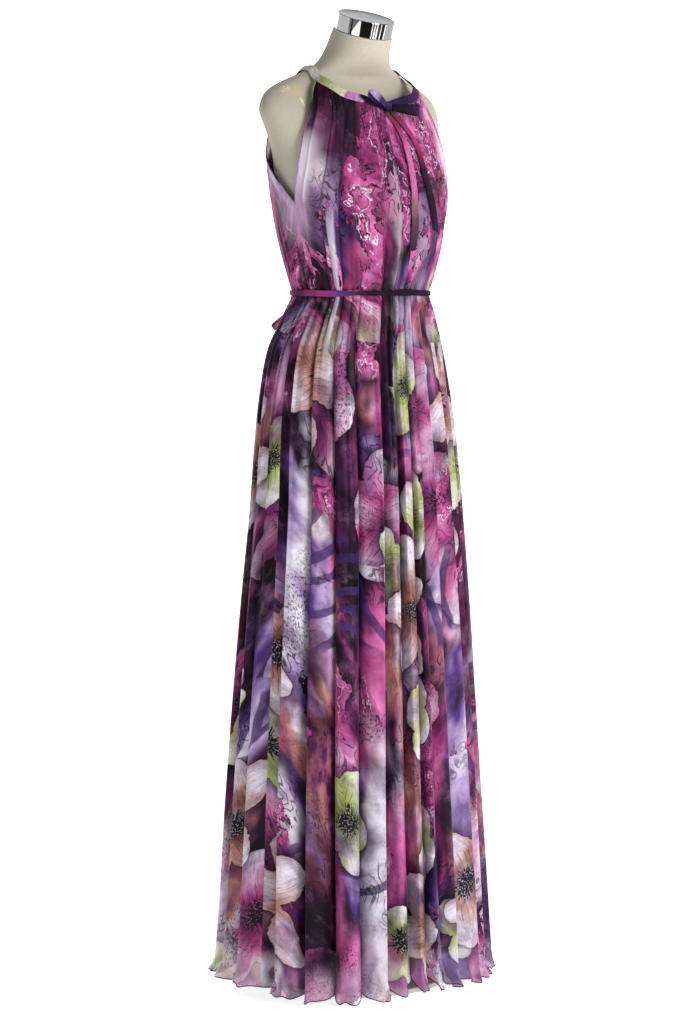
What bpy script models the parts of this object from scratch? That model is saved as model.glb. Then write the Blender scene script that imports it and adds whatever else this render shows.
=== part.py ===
"""Sleeveless halter-neck maxi dress on a limbless dress form with a pole and a round base, in metres, +Z up.

The origin is on the floor under the pole, and the dress's front faces -Y. An angle runs round the Z axis from the
front (0 degrees), over the wearer's left (+X, 90 degrees), to the back (180 degrees). A height is measured up from
the waist, where the belt is tied. The wearer's right armhole is on the -X side.

The cloth hangs inside an outer envelope, a stack of oval sections. Folds run down it from the neckband to the hem,
each a rounded lobe between two troughs, and near the belt and the neckband every fold splits into two gathers.
"""

import math
from collections import namedtuple

import bmesh
import bpy
import numpy as np
from mathutils import Matrix, Vector

# Driving dimensions
WAIST_HEIGHT = 1.145
CLOTH = 0.0014
SEAM_GAP = 0.0003
OVAL_POWER = 2.1
SHARP_ANGLE = 50.0

# Oval sections: height above the waist, half width, and depth to the front and to the back of the section's centre
Section = namedtuple("Section", "height half_width front back centre_y")

ENVELOPE = (
    Section(-1.140, 0.251, 0.203, 0.197, 0.004),
    Section(-1.000, 0.240, 0.194, 0.188, 0.004),
    Section(-0.836, 0.230, 0.182, 0.178, 0.004),
    Section(-0.672, 0.219, 0.170, 0.169, 0.002),
    Section(-0.507, 0.206, 0.156, 0.157, -0.001),
    Section(-0.342, 0.192, 0.143, 0.143, -0.003),
    Section(-0.259, 0.184, 0.139, 0.137, 0.000),
    Section(-0.177, 0.174, 0.131, 0.127, 0.003),
    Section(-0.094, 0.157, 0.121, 0.117, 0.003),
    Section(-0.045, 0.137, 0.110, 0.106, -0.005),
    Section(-0.014, 0.1230, 0.102, 0.101, -0.011),
    Section(-0.006, 0.1195, 0.099, 0.099, -0.012),
    Section(0.006, 0.1195, 0.099, 0.099, -0.012),
    Section(0.014, 0.1230, 0.102, 0.101, -0.012),
    Section(0.030, 0.127, 0.108, 0.107, -0.012),
    Section(0.071, 0.139, 0.117, 0.117, -0.012),
    Section(0.112, 0.149, 0.120, 0.120, -0.010),
    Section(0.153, 0.157, 0.120, 0.120, -0.010),
    Section(0.195, 0.163, 0.113, 0.114, -0.005),
    Section(0.236, 0.164, 0.103, 0.108, 0.001),
    Section(0.265, 0.160, 0.096, 0.107, 0.005),
    Section(0.290, 0.150, 0.092, 0.103, 0.008),
    Section(0.310, 0.138, 0.092, 0.097, 0.011),
    Section(0.325, 0.125, 0.093, 0.099, 0.012),
    Section(0.345, 0.105, 0.090, 0.096, 0.010),
    Section(0.365, 0.094, 0.085, 0.084, 0.003),
    Section(0.385, 0.087, 0.080, 0.080, -0.006),
)

# The dress form's own sections, from its lower rim to the top of its neck
FORM = (
    Section(-0.240, 0.128, 0.084, 0.092, -0.002),
    Section(-0.232, 0.138, 0.092, 0.100, -0.002),
    Section(-0.200, 0.149, 0.098, 0.106, -0.002),
    Section(-0.140, 0.149, 0.099, 0.106, -0.004),
    Section(-0.080, 0.135, 0.093, 0.098, -0.008),
    Section(-0.030, 0.116, 0.086, 0.085, -0.012),
    Section(0.000, 0.109, 0.083, 0.081, -0.012),
    Section(0.035, 0.116, 0.089, 0.086, -0.012),
    Section(0.080, 0.127, 0.096, 0.092, -0.010),
    Section(0.153, 0.144, 0.103, 0.099, -0.008),
    Section(0.195, 0.151, 0.096, 0.098, -0.004),
    Section(0.236, 0.157, 0.083, 0.086, 0.002),
    Section(0.265, 0.167, 0.075, 0.077, 0.008),
    Section(0.292, 0.176, 0.066, 0.068, 0.016),
    Section(0.308, 0.174, 0.059, 0.060, 0.019),
    Section(0.322, 0.166, 0.053, 0.054, 0.021),
    Section(0.332, 0.154, 0.049, 0.049, 0.022),
    Section(0.342, 0.136, 0.043, 0.042, 0.020),
    Section(0.352, 0.112, 0.040, 0.039, 0.018),
    Section(0.361, 0.090, 0.043, 0.041, 0.013),
    Section(0.371, 0.071, 0.046, 0.046, 0.008),
    Section(0.383, 0.0590, 0.0490, 0.0500, 0.002),
    Section(0.396, 0.0530, 0.0500, 0.0500, -0.004),
    Section(0.412, 0.0498, 0.0495, 0.0495, -0.012),
    Section(0.4245, 0.0480, 0.0480, 0.0480, -0.0185),
)
FORM_SEGMENTS = 36
NECK_BEND_FROM, NECK_LEAN = 0.352, 19.0

# Folds round the skirt: the angle of each trough at the hem and at the waist, and the lobe's depth after it
Fold = namedtuple("Fold", "hem_angle waist_angle depth")
FOLDS = (
    Fold(-91.5, -87.5, 1.05),
    Fold(-69.0, -75.0, 0.95),
    Fold(-56.5, -62.5, 1.00),
    Fold(-45.5, -52.0, 1.10),
    Fold(-34.0, -37.0, 0.90),
    Fold(-21.5, -16.0, 1.10),
    Fold(-4.7, -2.5, 0.75),
    Fold(4.7, 9.0, 0.70),
    Fold(13.0, 17.0, 0.75),
    Fold(21.0, 28.0, 1.05),
    Fold(37.0, 45.0, 1.00),
    Fold(51.0, 59.0, 1.10),
    Fold(66.0, 72.0, 0.90),
    Fold(80.0, 85.0, 1.00),
    Fold(95.0, 98.0, 1.10),
    Fold(109.0, 111.0, 0.85),
    Fold(122.0, 124.0, 1.00),
    Fold(136.0, 137.0, 1.10),
    Fold(149.0, 150.0, 0.90),
    Fold(163.0, 163.0, 1.05),
    Fold(176.0, 176.0, 0.95),
    Fold(190.0, 190.0, 1.10),
    Fold(204.0, 204.0, 1.00),
    Fold(218.0, 219.0, 0.85),
    Fold(236.0, 238.0, 1.10),
    Fold(252.0, 257.0, 0.95),
)
SIDES_PER_FOLD = 6
RIGHT_SEAM_COLUMN, LEFT_SEAM_COLUMN = 5, 12 * SIDES_PER_FOLD + 3
LOBE_ROUNDNESS = 0.7

# How deep the troughs are under the envelope, and how far each fold has split into two gathers
Gather = namedtuple("Gather", "height depth split")
GATHERS = (
    Gather(-1.140, 0.036, 0.0),
    Gather(-0.800, 0.030, 0.0),
    Gather(-0.450, 0.022, 0.1),
    Gather(-0.220, 0.014, 0.3),
    Gather(-0.110, 0.010, 0.6),
    Gather(-0.045, 0.007, 0.9),
    Gather(0.000, 0.004, 1.0),
    Gather(0.080, 0.007, 0.7),
    Gather(0.170, 0.006, 0.4),
    Gather(0.250, 0.005, 0.8),
    Gather(0.400, 0.0035, 1.0),
)

# Panel rows: shares of the way down from the neckband to the underarm, then heights down to the hem
UNDERARM = 0.142
YOKE_SHARES = (0.0, 0.14, 0.3, 0.45, 0.6, 0.75, 0.88, 1.0)
SKIRT_ROWS = (0.075, 0.024, 0.006, -0.006, -0.024, -0.080, -0.200, -0.480, -0.820)

# The hem's height round the skirt, a little uneven
Hem = namedtuple("Hem", "angle height")
HEM = (
    Hem(-115, -1.112),
    Hem(-85, -1.110),
    Hem(-60, -1.126),
    Hem(-39, -1.139),
    Hem(-20, -1.128),
    Hem(0, -1.119),
    Hem(20, -1.130),
    Hem(37, -1.137),
    Hem(62, -1.121),
    Hem(115, -1.116),
    Hem(180, -1.124),
    Hem(245, -1.112),
)

# Armhole edges: the angle of each panel's edge at a share of the way from the neckband to the underarm
Armhole = namedtuple("Armhole", "share front back")
ARMHOLE = (
    Armhole(0.00, 69.5, 116.0),
    Armhole(0.12, 66.0, 121.5),
    Armhole(0.27, 66.5, 124.5),
    Armhole(0.42, 68.5, 120.5),
    Armhole(0.58, 70.5, 110.5),
    Armhole(0.72, 72.5, 97.5),
    Armhole(0.80, 74.3, 91.5),
    Armhole(0.90, 76.3, 85.5),
    Armhole(1.00, 78.0, 78.0),
)
BINDING_WIDTH, BINDING_THICK, BINDING_GAP = 0.0035, 0.0022, 0.0006
UNDERARM_LIFT = 2.2

# Neckline: height of the panels' top edge at an angle from the front, the same on both sides. The band that stands
# on it leans towards the neck, in degrees from upright.
Neckline = namedtuple("Neckline", "angle height lean")
NECKLINE = (
    Neckline(0, 0.2930, 25),
    Neckline(26, 0.3055, 27),
    Neckline(43, 0.3130, 31),
    Neckline(56, 0.3280, 36),
    Neckline(78, 0.3475, 44),
    Neckline(90, 0.3590, 47),
    Neckline(108, 0.3610, 47),
    Neckline(125, 0.3610, 42),
    Neckline(150, 0.3600, 32),
    Neckline(180, 0.3590, 25),
)
BAND_WIDTH, BAND_THICK, BAND_GAP, BAND_SEGMENTS = 0.015, 0.0018, 0.00045, 60

# Ties: the neckband's bow at the front and the belt's bow at the back
NECK_TIE, BELT_TIE, TIE_THICK = 0.016, 0.009, 0.0014
NECK_KNOT, NECK_KNOT_OUT = Vector((0.0075, 0.0045, 0.0075)), 0.0027
BELT_KNOT = Vector((0.0060, 0.0045, 0.0060))

# A tail's path down the dress, along its middle line, and its width there as a share of the tie's
TailPoint = namedtuple("TailPoint", "height angle width")
NECK_TAIL_RIGHT = (
    TailPoint(0.287, 0.5, 0.45),
    TailPoint(0.277, 6.5, 0.60),
    TailPoint(0.256, 12.0, 0.95),
    TailPoint(0.236, 13.5, 1.00),
    TailPoint(0.190, 11.5, 1.00),
    TailPoint(0.144, 9.0, 1.00),
    TailPoint(0.109, 10.0, 1.00),
    TailPoint(0.068, 7.5, 1.00),
)
NECK_TAIL_LEFT = (
    TailPoint(0.287, 9.5, 0.45),
    TailPoint(0.275, 16.5, 0.60),
    TailPoint(0.256, 23.5, 0.95),
    TailPoint(0.236, 26.5, 1.00),
    TailPoint(0.190, 26.0, 1.00),
    TailPoint(0.155, 27.5, 1.00),
    TailPoint(0.102, 35.0, 1.00),
)
BELT_TAIL_RIGHT = (
    TailPoint(-0.0075, 182.5, 0.60),
    TailPoint(-0.050, 185.0, 1.00),
    TailPoint(-0.150, 186.5, 1.00),
    TailPoint(-0.310, 189.0, 1.00),
)
BELT_TAIL_LEFT = (
    TailPoint(-0.0075, 177.5, 0.60),
    TailPoint(-0.050, 175.0, 1.00),
    TailPoint(-0.140, 174.5, 1.00),
    TailPoint(-0.280, 171.0, 1.00),
)
TAIL_STEPS, TAIL_OUT, TAIL_TURN = 14, 0.0004, 0.05

# A loop from the side of its knot to its tip, and how far its two layers part
Loop = namedtuple("Loop", "tip width spread")
NECK_LOOP_RIGHT = Loop(Vector((-0.046, -0.006, 0.017)), 0.016, 0.007)
NECK_LOOP_LEFT = Loop(Vector((0.044, -0.015, -0.004)), 0.019, 0.008)
BELT_LOOP_RIGHT = Loop(Vector((-0.062, 0.024, -0.045)), 0.009, 0.010)
BELT_LOOP_LEFT = Loop(Vector((0.066, 0.022, -0.038)), 0.009, 0.010)
LOOP_STEPS, LOOP_ROOT = 12, 0.55

# Belt
BELT_HEIGHT, BELT_THICK, BELT_GAP, BELT_SEGMENTS = 0.009, 0.0022, 0.0005, 60

# Neck cap, pole and base
CAP_RADIUS, CAP_THICK, CAP_BEVEL = 0.0475, 0.027, 0.0015
POLE_RADIUS, BASE_RADIUS, BASE_THICK, BASE_BEVEL = 0.0125, 0.148, 0.008, 0.002
ROUND_SEGMENTS = 36


def smooth_row(rows, at):
    """One row's values of a table at a place in its first column, on a smooth curve through the rows."""
    places = np.array([row[0] for row in rows], float)
    values = np.array([row[1:] for row in rows], float)
    at = float(np.clip(at, places[0], places[-1]))
    i = int(np.clip(np.searchsorted(places, at) - 1, 0, len(rows) - 2))
    before, after = max(i - 1, 0), min(i + 2, len(rows) - 1)
    span = places[i + 1] - places[i]
    start = (values[i + 1] - values[before]) / (places[i + 1] - places[before])
    end = (values[after] - values[i]) / (places[after] - places[i])
    t = (at - places[i]) / span
    return (
        (2 * t**3 - 3 * t**2 + 1) * values[i]
        + (t**3 - 2 * t**2 + t) * span * start
        + (3 * t**2 - 2 * t**3) * values[i + 1]
        + (t**3 - t**2) * span * end
    )


def oval_radius(section, angle):
    """The radius of an oval at an angle round its centre."""
    half_width, front, back, _ = section
    across, along = math.sin(angle), math.cos(angle)
    depth = front if along > 0 else back
    inverse = (abs(across) / half_width) ** OVAL_POWER + (abs(along) / depth) ** OVAL_POWER
    return inverse ** (-1 / OVAL_POWER)


def place(section, angle, radius, height):
    """The point at an angle and radius round a section's centre."""
    y = section[3] - radius * math.cos(angle)
    return Vector((radius * math.sin(angle), y, WAIST_HEIGHT + height))


def on_envelope(angle, height, out=0.0):
    """A point on the cloth's outer envelope, or that far outside it."""
    section = smooth_row(ENVELOPE, height)
    return place(section, angle, oval_radius(section, angle) + out, height)


def neckline(angle):
    """The height of the panels' top edge at an angle, and the lean of the band there."""
    turned = abs((math.degrees(angle) + 180) % 360 - 180)
    return smooth_row(NECKLINE, turned)


Line = namedtuple("Line", "hem waist share depth")


def columns():
    """Each fold line round the skirt: its hem and waist angles, its place within its fold, and the fold's depth."""
    lines = []
    ends = FOLDS[1:] + (FOLDS[0]._replace(hem_angle=FOLDS[0][0] + 360, waist_angle=FOLDS[0][1] + 360),)
    for fold, following in zip(FOLDS, ends):
        for side in range(SIDES_PER_FOLD):
            share = side / SIDES_PER_FOLD
            hem = fold.hem_angle + share * (following.hem_angle - fold.hem_angle)
            waist = fold.waist_angle + share * (following.waist_angle - fold.waist_angle)
            lines.append(Line(math.radians(hem), math.radians(waist), share, fold.depth))
    return lines


def lobe(share):
    """How far out the cloth stands within a fold, from 0 in its trough to 1 on its crest."""
    return abs(math.sin(math.pi * share)) ** LOBE_ROUNDNESS


def fold_depth(height, share, depth):
    """How far under the envelope the cloth lies at a place within a fold."""
    deep, split = smooth_row(GATHERS, height)
    crest = (1 - split) * lobe(share) + split * lobe(2 * share)
    return deep * depth * (1 - crest)


def line_angle(line, height):
    """The angle of a fold line at a height: it drifts from its waist angle to its hem angle."""
    below = min(max(height / ENVELOPE[0].height, 0.0), 1.0)
    return line.waist + (line.hem - line.waist) * below


def cloth_point(line, angle, height):
    """The middle of the cloth's wall on a fold line."""
    under = fold_depth(height, line.share, line.depth) + CLOTH / 2
    return on_envelope(angle, height, -under)


def yoke_point(line, share, edge_angle, seam_angle, middle):
    """A panel point between the neckband and the underarm. Its fold lines draw together between the armholes."""
    angle = middle + (line.waist - middle) * (edge_angle - middle) / (seam_angle - middle)
    top = neckline(angle)[0]
    height = top + (UNDERARM - top) * share
    return cloth_point(line, angle, height)


def hem_height(line):
    """The hem's height on a fold line."""
    angle = math.degrees(line.hem)
    turned = angle - 360 if angle > HEM[-1].angle else angle
    return float(smooth_row(HEM, turned)[0])


def panel_grid(lines, front):
    """The wall's middle points of one panel, a row for each level and a column for each fold line."""
    middle = 0.0 if front else math.pi
    rows = []
    for share in YOKE_SHARES:
        edges = np.radians(smooth_row(ARMHOLE, share))
        edge = edges[0] if front else edges[1]
        row = []
        for line in lines:
            right = line.waist < middle
            seam = lines[0].waist if right else lines[-1].waist
            end = middle - abs(edge - middle) if right else middle + abs(edge - middle)
            row.append(yoke_point(line, share, end, seam, middle))
        rows.append(row)
    for height in SKIRT_ROWS:
        rows.append([cloth_point(line, line_angle(line, height), height) for line in lines])
    rows.append([cloth_point(line, line.hem, hem_height(line)) for line in lines])
    return np.array(rows)


def grid_normals(grid):
    """Outward unit normals of a grid of points."""
    down = np.gradient(grid, axis=0)
    along = np.gradient(grid, axis=1)
    normals = np.cross(down, along)
    return normals / np.linalg.norm(normals, axis=2, keepdims=True)


def material(name, colour, roughness, metallic=0.0):
    """A plain Principled material."""
    made = bpy.data.materials.new(name)
    made.use_nodes = True
    shader = made.node_tree.nodes["Principled BSDF"]
    shader.inputs["Base Color"].default_value = (*colour, 1)
    shader.inputs["Roughness"].default_value = roughness
    shader.inputs["Metallic"].default_value = metallic
    made.diffuse_color = (*colour, 1)
    return made


def add_mesh(name, points, faces, finish, smooth=True):
    """A mesh object with its faces turned outward."""
    mesh = bpy.data.meshes.new(name)
    mesh.from_pydata([tuple(p) for p in points], [], faces)
    turned = bmesh.new()
    turned.from_mesh(mesh)
    bmesh.ops.recalc_face_normals(turned, faces=turned.faces)
    turned.to_mesh(mesh)
    turned.free()
    if smooth:
        mesh.shade_smooth()
        mesh.set_sharp_from_angle(angle=math.radians(SHARP_ANGLE))
    mesh.materials.append(finish)
    made = bpy.data.objects.new(name, mesh)
    bpy.context.scene.collection.objects.link(made)
    return made


def wall_faces(rows, cols):
    """The faces of a closed wall: two grids of points, the outer one first, joined round their edges."""
    inner = rows * cols
    faces = []
    for r in range(rows - 1):
        for c in range(cols - 1):
            a, b = r * cols + c, r * cols + c + 1
            d, e = a + cols, b + cols
            faces.append((a, b, e, d))
            faces.append((inner + a, inner + d, inner + e, inner + b))
    border = [c for c in range(cols)]
    border += [r * cols + cols - 1 for r in range(1, rows)]
    border += [(rows - 1) * cols + c for c in range(cols - 2, -1, -1)]
    border += [r * cols for r in range(rows - 2, 0, -1)]
    for a, b in zip(border, border[1:] + border[:1]):
        faces.append((a, inner + a, inner + b, b))
    return faces


def level(direction):
    """A direction's level part, as a unit vector."""
    flat = np.array((direction[0], direction[1], 0.0))
    return flat / np.linalg.norm(flat)


def build_panel(name, lines, front, finish):
    """One panel of the dress. Returns its grid of middle points and their normals."""
    grid = panel_grid(lines, front)
    normals = grid_normals(grid)
    normals[0] = [level(normal) for normal in normals[0]]
    shut = grid.copy()
    for column, beside in ((0, 1), (-1, -2)):
        for row in range(len(grid)):
            if row >= len(YOKE_SHARES) - 1:
                normals[row, column] = level(grid[row, column])
            along = grid[row, beside] - grid[row, column]
            along -= normals[row, column] * along.dot(normals[row, column])
            shut[row, column] += along / np.linalg.norm(along) * SEAM_GAP
    points = np.concatenate([shut + normals * CLOTH / 2, shut - normals * CLOTH / 2])
    rows, cols = grid.shape[:2]
    add_mesh(name, points.reshape(-1, 3), wall_faces(rows, cols), finish)
    return grid, normals


def strip_solid(name, middles, acrosses, widths, thick, finish, closed=False):
    """A flat strip of cloth: middle points, the direction and size of its width at each, and its thickness."""
    count = len(middles)
    points = []
    for i, (middle, across) in enumerate(zip(middles, acrosses)):
        before = middles[i - 1] if i or closed else middles[0]
        after = middles[(i + 1) % count] if i < count - 1 or closed else middles[-1]
        run = (after - before).normalized()
        across = (across - across.dot(run) * run).normalized()
        out = run.cross(across).normalized()
        for side, face in ((-1, -1), (1, -1), (1, 1), (-1, 1)):
            points.append(middle + across * (side * widths[i] / 2) + out * (face * thick / 2))
    faces = []
    for i in range(count if closed else count - 1):
        a, b = 4 * i, 4 * ((i + 1) % count)
        for k in range(4):
            n = (k + 1) % 4
            faces.append((a + k, b + k, b + n, a + n))
    if not closed:
        last = 4 * (count - 1)
        faces += [(0, 1, 2, 3), (last + 3, last + 2, last + 1, last)]
    return add_mesh(name, points, faces, finish)


def build_binding(name, front, back, column, finish):
    """The narrow strip sewn round an armhole, along the front panel's edge down to the underarm and up the back's."""
    top = len(YOKE_SHARES)
    (grid, normals), (grid_back, normals_back) = front, back
    other = -1 - column
    edge = [Vector(p) for p in grid[:top, column]] + [Vector(p) for p in grid_back[top - 2 :: -1, other]]
    faces_out = [Vector(n) for n in normals[:top, column]]
    faces_out += [Vector(n) for n in normals_back[top - 2 :: -1, other]]
    beside = [Vector(p) for p in grid[:top, column + (1 if column == 0 else -1)]]
    beside += [Vector(p) for p in grid_back[top - 2 :: -1, other + (1 if other == 0 else -1)]]
    middles, acrosses = [], []
    for i, point in enumerate(edge):
        before, after = edge[max(i - 1, 0)], edge[min(i + 1, len(edge) - 1)]
        run = (after - before).normalized()
        away = faces_out[i].cross(run).normalized()
        if i == top - 1:
            away = Vector((0, 0, 1))
        elif away.dot(point - beside[i]) < 0:
            away = -away
        ease = BINDING_GAP + BINDING_WIDTH / 2
        middles.append(point + away * ease * (UNDERARM_LIFT if i == top - 1 else 1))
        acrosses.append(away)
    middles[0] += (middles[1] - middles[0]).normalized() * BINDING_GAP
    middles[-1] += (middles[-2] - middles[-1]).normalized() * BINDING_GAP
    strip_solid(name, middles, acrosses, [BINDING_WIDTH] * len(edge), BINDING_THICK, finish)


def build_neckband(finish):
    """The band all round the neck, standing on the panels' top edges. Returns the middle of its front."""
    lowers, acrosses = [], []
    for i in range(BAND_SEGMENTS):
        angle = 2 * math.pi * i / BAND_SEGMENTS
        height, degrees = neckline(angle)
        lean = math.radians(degrees)
        lift = BAND_GAP + BAND_THICK / 2 * math.sin(lean)
        lowers.append(on_envelope(angle, height + lift, -BAND_THICK / 2))
        inward = Vector((-math.sin(angle), math.cos(angle), 0))
        acrosses.append(inward * math.sin(lean) + Vector((0, 0, math.cos(lean))))
    middles = []
    for i, lower in enumerate(lowers):
        run = (lowers[(i + 1) % BAND_SEGMENTS] - lowers[i - 1]).normalized()
        acrosses[i] = (acrosses[i] - acrosses[i].dot(run) * run).normalized()
        middles.append(lower + acrosses[i] * BAND_WIDTH / 2)
    strip_solid("neckband", middles, acrosses, [BAND_WIDTH] * BAND_SEGMENTS, BAND_THICK, finish, closed=True)
    return middles[0]


def build_belt(finish):
    """The tie belt's ring, just outside the gathers at the waist."""
    out = BELT_GAP + BELT_THICK / 2
    middles = [on_envelope(2 * math.pi * i / BELT_SEGMENTS, 0.0, out) for i in range(BELT_SEGMENTS)]
    acrosses = [Vector((0, 0, 1))] * BELT_SEGMENTS
    strip_solid("belt", middles, acrosses, [BELT_HEIGHT] * BELT_SEGMENTS, BELT_THICK, finish, closed=True)


def build_knot(name, centre, half, finish):
    """A small rounded knot."""
    shape = bmesh.new()
    bmesh.ops.create_uvsphere(shape, u_segments=12, v_segments=8, radius=1.0)
    for vert in shape.verts:
        vert.co = Vector((vert.co.x * half.x, vert.co.y * half.y, vert.co.z * half.z)) + centre
    points = [vert.co.copy() for vert in shape.verts]
    faces = [[vert.index for vert in face.verts] for face in shape.faces]
    shape.free()
    add_mesh(name, points, faces, finish)


def build_tail(name, path, width, finish):
    """A tie's free end, lying down the dress."""
    top, bottom = path[0].height, path[-1].height
    rows = sorted(path)
    middles, acrosses, widths = [], [], []
    for i in range(TAIL_STEPS + 1):
        height = top + (bottom - top) * i / TAIL_STEPS
        angle, share = smooth_row(rows, height)
        angle = math.radians(angle)
        middles.append(on_envelope(angle, height, TAIL_OUT + TIE_THICK / 2))
        acrosses.append(on_envelope(angle + TAIL_TURN, height) - on_envelope(angle - TAIL_TURN, height))
        widths.append(width * float(share))
    strip_solid(name, middles, acrosses, widths, TIE_THICK, finish)


def build_loop(name, loop, root, knot_half, outward, finish):
    """A bow's loop: the tie runs out from its knot, round the tip and back."""
    reach = loop.tip.normalized()
    apart = (outward - outward.dot(reach) * reach).normalized()
    across = reach.cross(apart)
    start = root + reach * (knot_half.x + SEAM_GAP)
    middles, widths = [], []
    for i in range(LOOP_STEPS + 1):
        turn = math.pi * i / LOOP_STEPS
        swell = loop.spread * math.sin(2 * turn) + TIE_THICK * math.cos(turn)
        middles.append(start + reach * (loop.tip.length * math.sin(turn)) - apart * swell)
        widths.append(loop.width * (LOOP_ROOT + (1 - LOOP_ROOT) * math.sin(turn)))
    strip_solid(name, middles, [across] * len(middles), widths, TIE_THICK, finish)


def form_ring(section, height):
    """One ring of the dress form. Above the shoulders the rings tip forward with the neck."""
    rise = (height - NECK_BEND_FROM) / (FORM[-1].height - NECK_BEND_FROM)
    tip = math.radians(NECK_LEAN) * max(rise, 0.0)
    centre = Vector((0, section[3], WAIST_HEIGHT + height))
    ring = []
    for i in range(FORM_SEGMENTS):
        angle = 2 * math.pi * i / FORM_SEGMENTS
        radius = oval_radius(section, angle)
        back = -radius * math.cos(angle)
        ring.append(centre + Vector((radius * math.sin(angle), back * math.cos(tip), back * math.sin(tip))))
    return ring


def build_form(finish):
    """The limbless dress form, from its flat underside to the top of its neck."""
    points = [p for section in FORM for p in form_ring(section[1:], section.height)]
    count = FORM_SEGMENTS
    faces = []
    for r in range(len(FORM) - 1):
        for i in range(count):
            n = (i + 1) % count
            faces.append((r * count + i, r * count + n, (r + 1) * count + n, (r + 1) * count + i))
    faces.append(tuple(range(count)))
    faces.append(tuple(range(len(points) - 1, len(points) - 1 - count, -1)))
    add_mesh("dress_form", points, faces, finish)


def build_round(name, radius, thick, bevel, matrix, finish):
    """A disc or a pole with its lower face at the matrix's origin."""
    shape = bmesh.new()
    bmesh.ops.create_cone(
        shape, cap_ends=True, segments=ROUND_SEGMENTS, radius1=radius, radius2=radius, depth=thick
    )
    bmesh.ops.translate(shape, verts=shape.verts, vec=(0, 0, thick / 2))
    if bevel:
        rim = [e for e in shape.edges if all(v.co.z > thick / 2 for v in e.verts)]
        bmesh.ops.bevel(shape, geom=rim, offset=bevel, segments=2, profile=0.5, affect="EDGES")
    shape.transform(matrix)
    points = [vert.co.copy() for vert in shape.verts]
    faces = [[vert.index for vert in face.verts] for face in shape.faces]
    shape.free()
    add_mesh(name, points, faces, finish)


def clear_scene():
    for old in list(bpy.data.objects):
        bpy.data.objects.remove(old, do_unlink=True)


def main():
    clear_scene()
    print_cloth = material("printed_chiffon", (0.42, 0.14, 0.33), 0.6)
    tie_cloth = material("tie_chiffon", (0.28, 0.08, 0.24), 0.6)
    trim = material("binding", (0.13, 0.05, 0.13), 0.55)
    cover = material("form_cover", (0.66, 0.61, 0.50), 0.85)
    chrome = material("cap_chrome", (0.72, 0.73, 0.74), 0.15, 1.0)
    steel = material("stand_steel", (0.62, 0.61, 0.58), 0.45)

    lines = columns()
    ahead = [Line(line.hem + 2 * math.pi, line.waist + 2 * math.pi, line.share, line.depth) for line in lines]
    front = build_panel("front_panel", lines[RIGHT_SEAM_COLUMN : LEFT_SEAM_COLUMN + 1], True, print_cloth)
    around = lines[LEFT_SEAM_COLUMN:] + ahead[: RIGHT_SEAM_COLUMN + 1]
    back = build_panel("back_panel", around, False, print_cloth)
    build_binding("armhole_binding_right", front, back, 0, trim)
    build_binding("armhole_binding_left", front, back, -1, trim)
    band_front = build_neckband(print_cloth)
    build_belt(tie_cloth)

    ahead_of_it = Vector((0, -1, 0))
    neck_knot = band_front + ahead_of_it * (NECK_KNOT_OUT + NECK_KNOT.y)
    build_knot("neck_knot", neck_knot, NECK_KNOT, tie_cloth)
    build_loop("neck_loop_right", NECK_LOOP_RIGHT, neck_knot, NECK_KNOT, ahead_of_it, tie_cloth)
    build_loop("neck_loop_left", NECK_LOOP_LEFT, neck_knot, NECK_KNOT, ahead_of_it, tie_cloth)
    build_tail("neck_tail_right", NECK_TAIL_RIGHT, NECK_TIE, tie_cloth)
    build_tail("neck_tail_left", NECK_TAIL_LEFT, NECK_TIE, tie_cloth)

    belt_out = BELT_GAP + BELT_THICK + SEAM_GAP + BELT_KNOT.y
    belt_knot = on_envelope(math.pi, 0.0, belt_out)
    behind_it = Vector((0, 1, 0))
    build_knot("belt_knot", belt_knot, BELT_KNOT, tie_cloth)
    build_loop("belt_loop_right", BELT_LOOP_RIGHT, belt_knot, BELT_KNOT, behind_it, tie_cloth)
    build_loop("belt_loop_left", BELT_LOOP_LEFT, belt_knot, BELT_KNOT, behind_it, tie_cloth)
    build_tail("belt_tail_right", BELT_TAIL_RIGHT, BELT_TIE, tie_cloth)
    build_tail("belt_tail_left", BELT_TAIL_LEFT, BELT_TIE, tie_cloth)

    build_form(cover)
    top = FORM[-1]
    tip = Matrix.Rotation(math.radians(NECK_LEAN), 4, "X")
    neck_top = Matrix.Translation((0, top.centre_y, WAIST_HEIGHT + top.height)) @ tip
    cap_place = neck_top @ Matrix.Translation((0, 0, SEAM_GAP))
    build_round("neck_cap", CAP_RADIUS, CAP_THICK, CAP_BEVEL, cap_place, chrome)
    build_round("stand_base", BASE_RADIUS, BASE_THICK, BASE_BEVEL, Matrix.Identity(4), steel)
    pole_length = WAIST_HEIGHT + FORM[0].height - BASE_THICK - 2 * SEAM_GAP
    pole_foot = Matrix.Translation((0, 0, BASE_THICK + SEAM_GAP))
    build_round("stand_pole", POLE_RADIUS, pole_length, 0.0, pole_foot, steel)


main()
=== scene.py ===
"""Looks of a sleeveless halter-neck maxi dress on a limbless dress form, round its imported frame.

Sizes are in metres and +Z is up. The frame's origin is on the floor under the pole, and the dress's front
faces -Y. An angle runs round the Z axis from the front (0 degrees), over the wearer's left (+X, 90 degrees), to
the back. A height is measured up from the waist. A place round the cloth is counted in folds from the wearer's
right side, so a whole number is a trough.

The chiffon carries a generic watercolour floral: washes, ink blots and blossoms of noise and Voronoi cells.
"""

import math
from collections import namedtuple

import bmesh
import bpy
import numpy as np
from mathutils import Matrix, Vector


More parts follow.
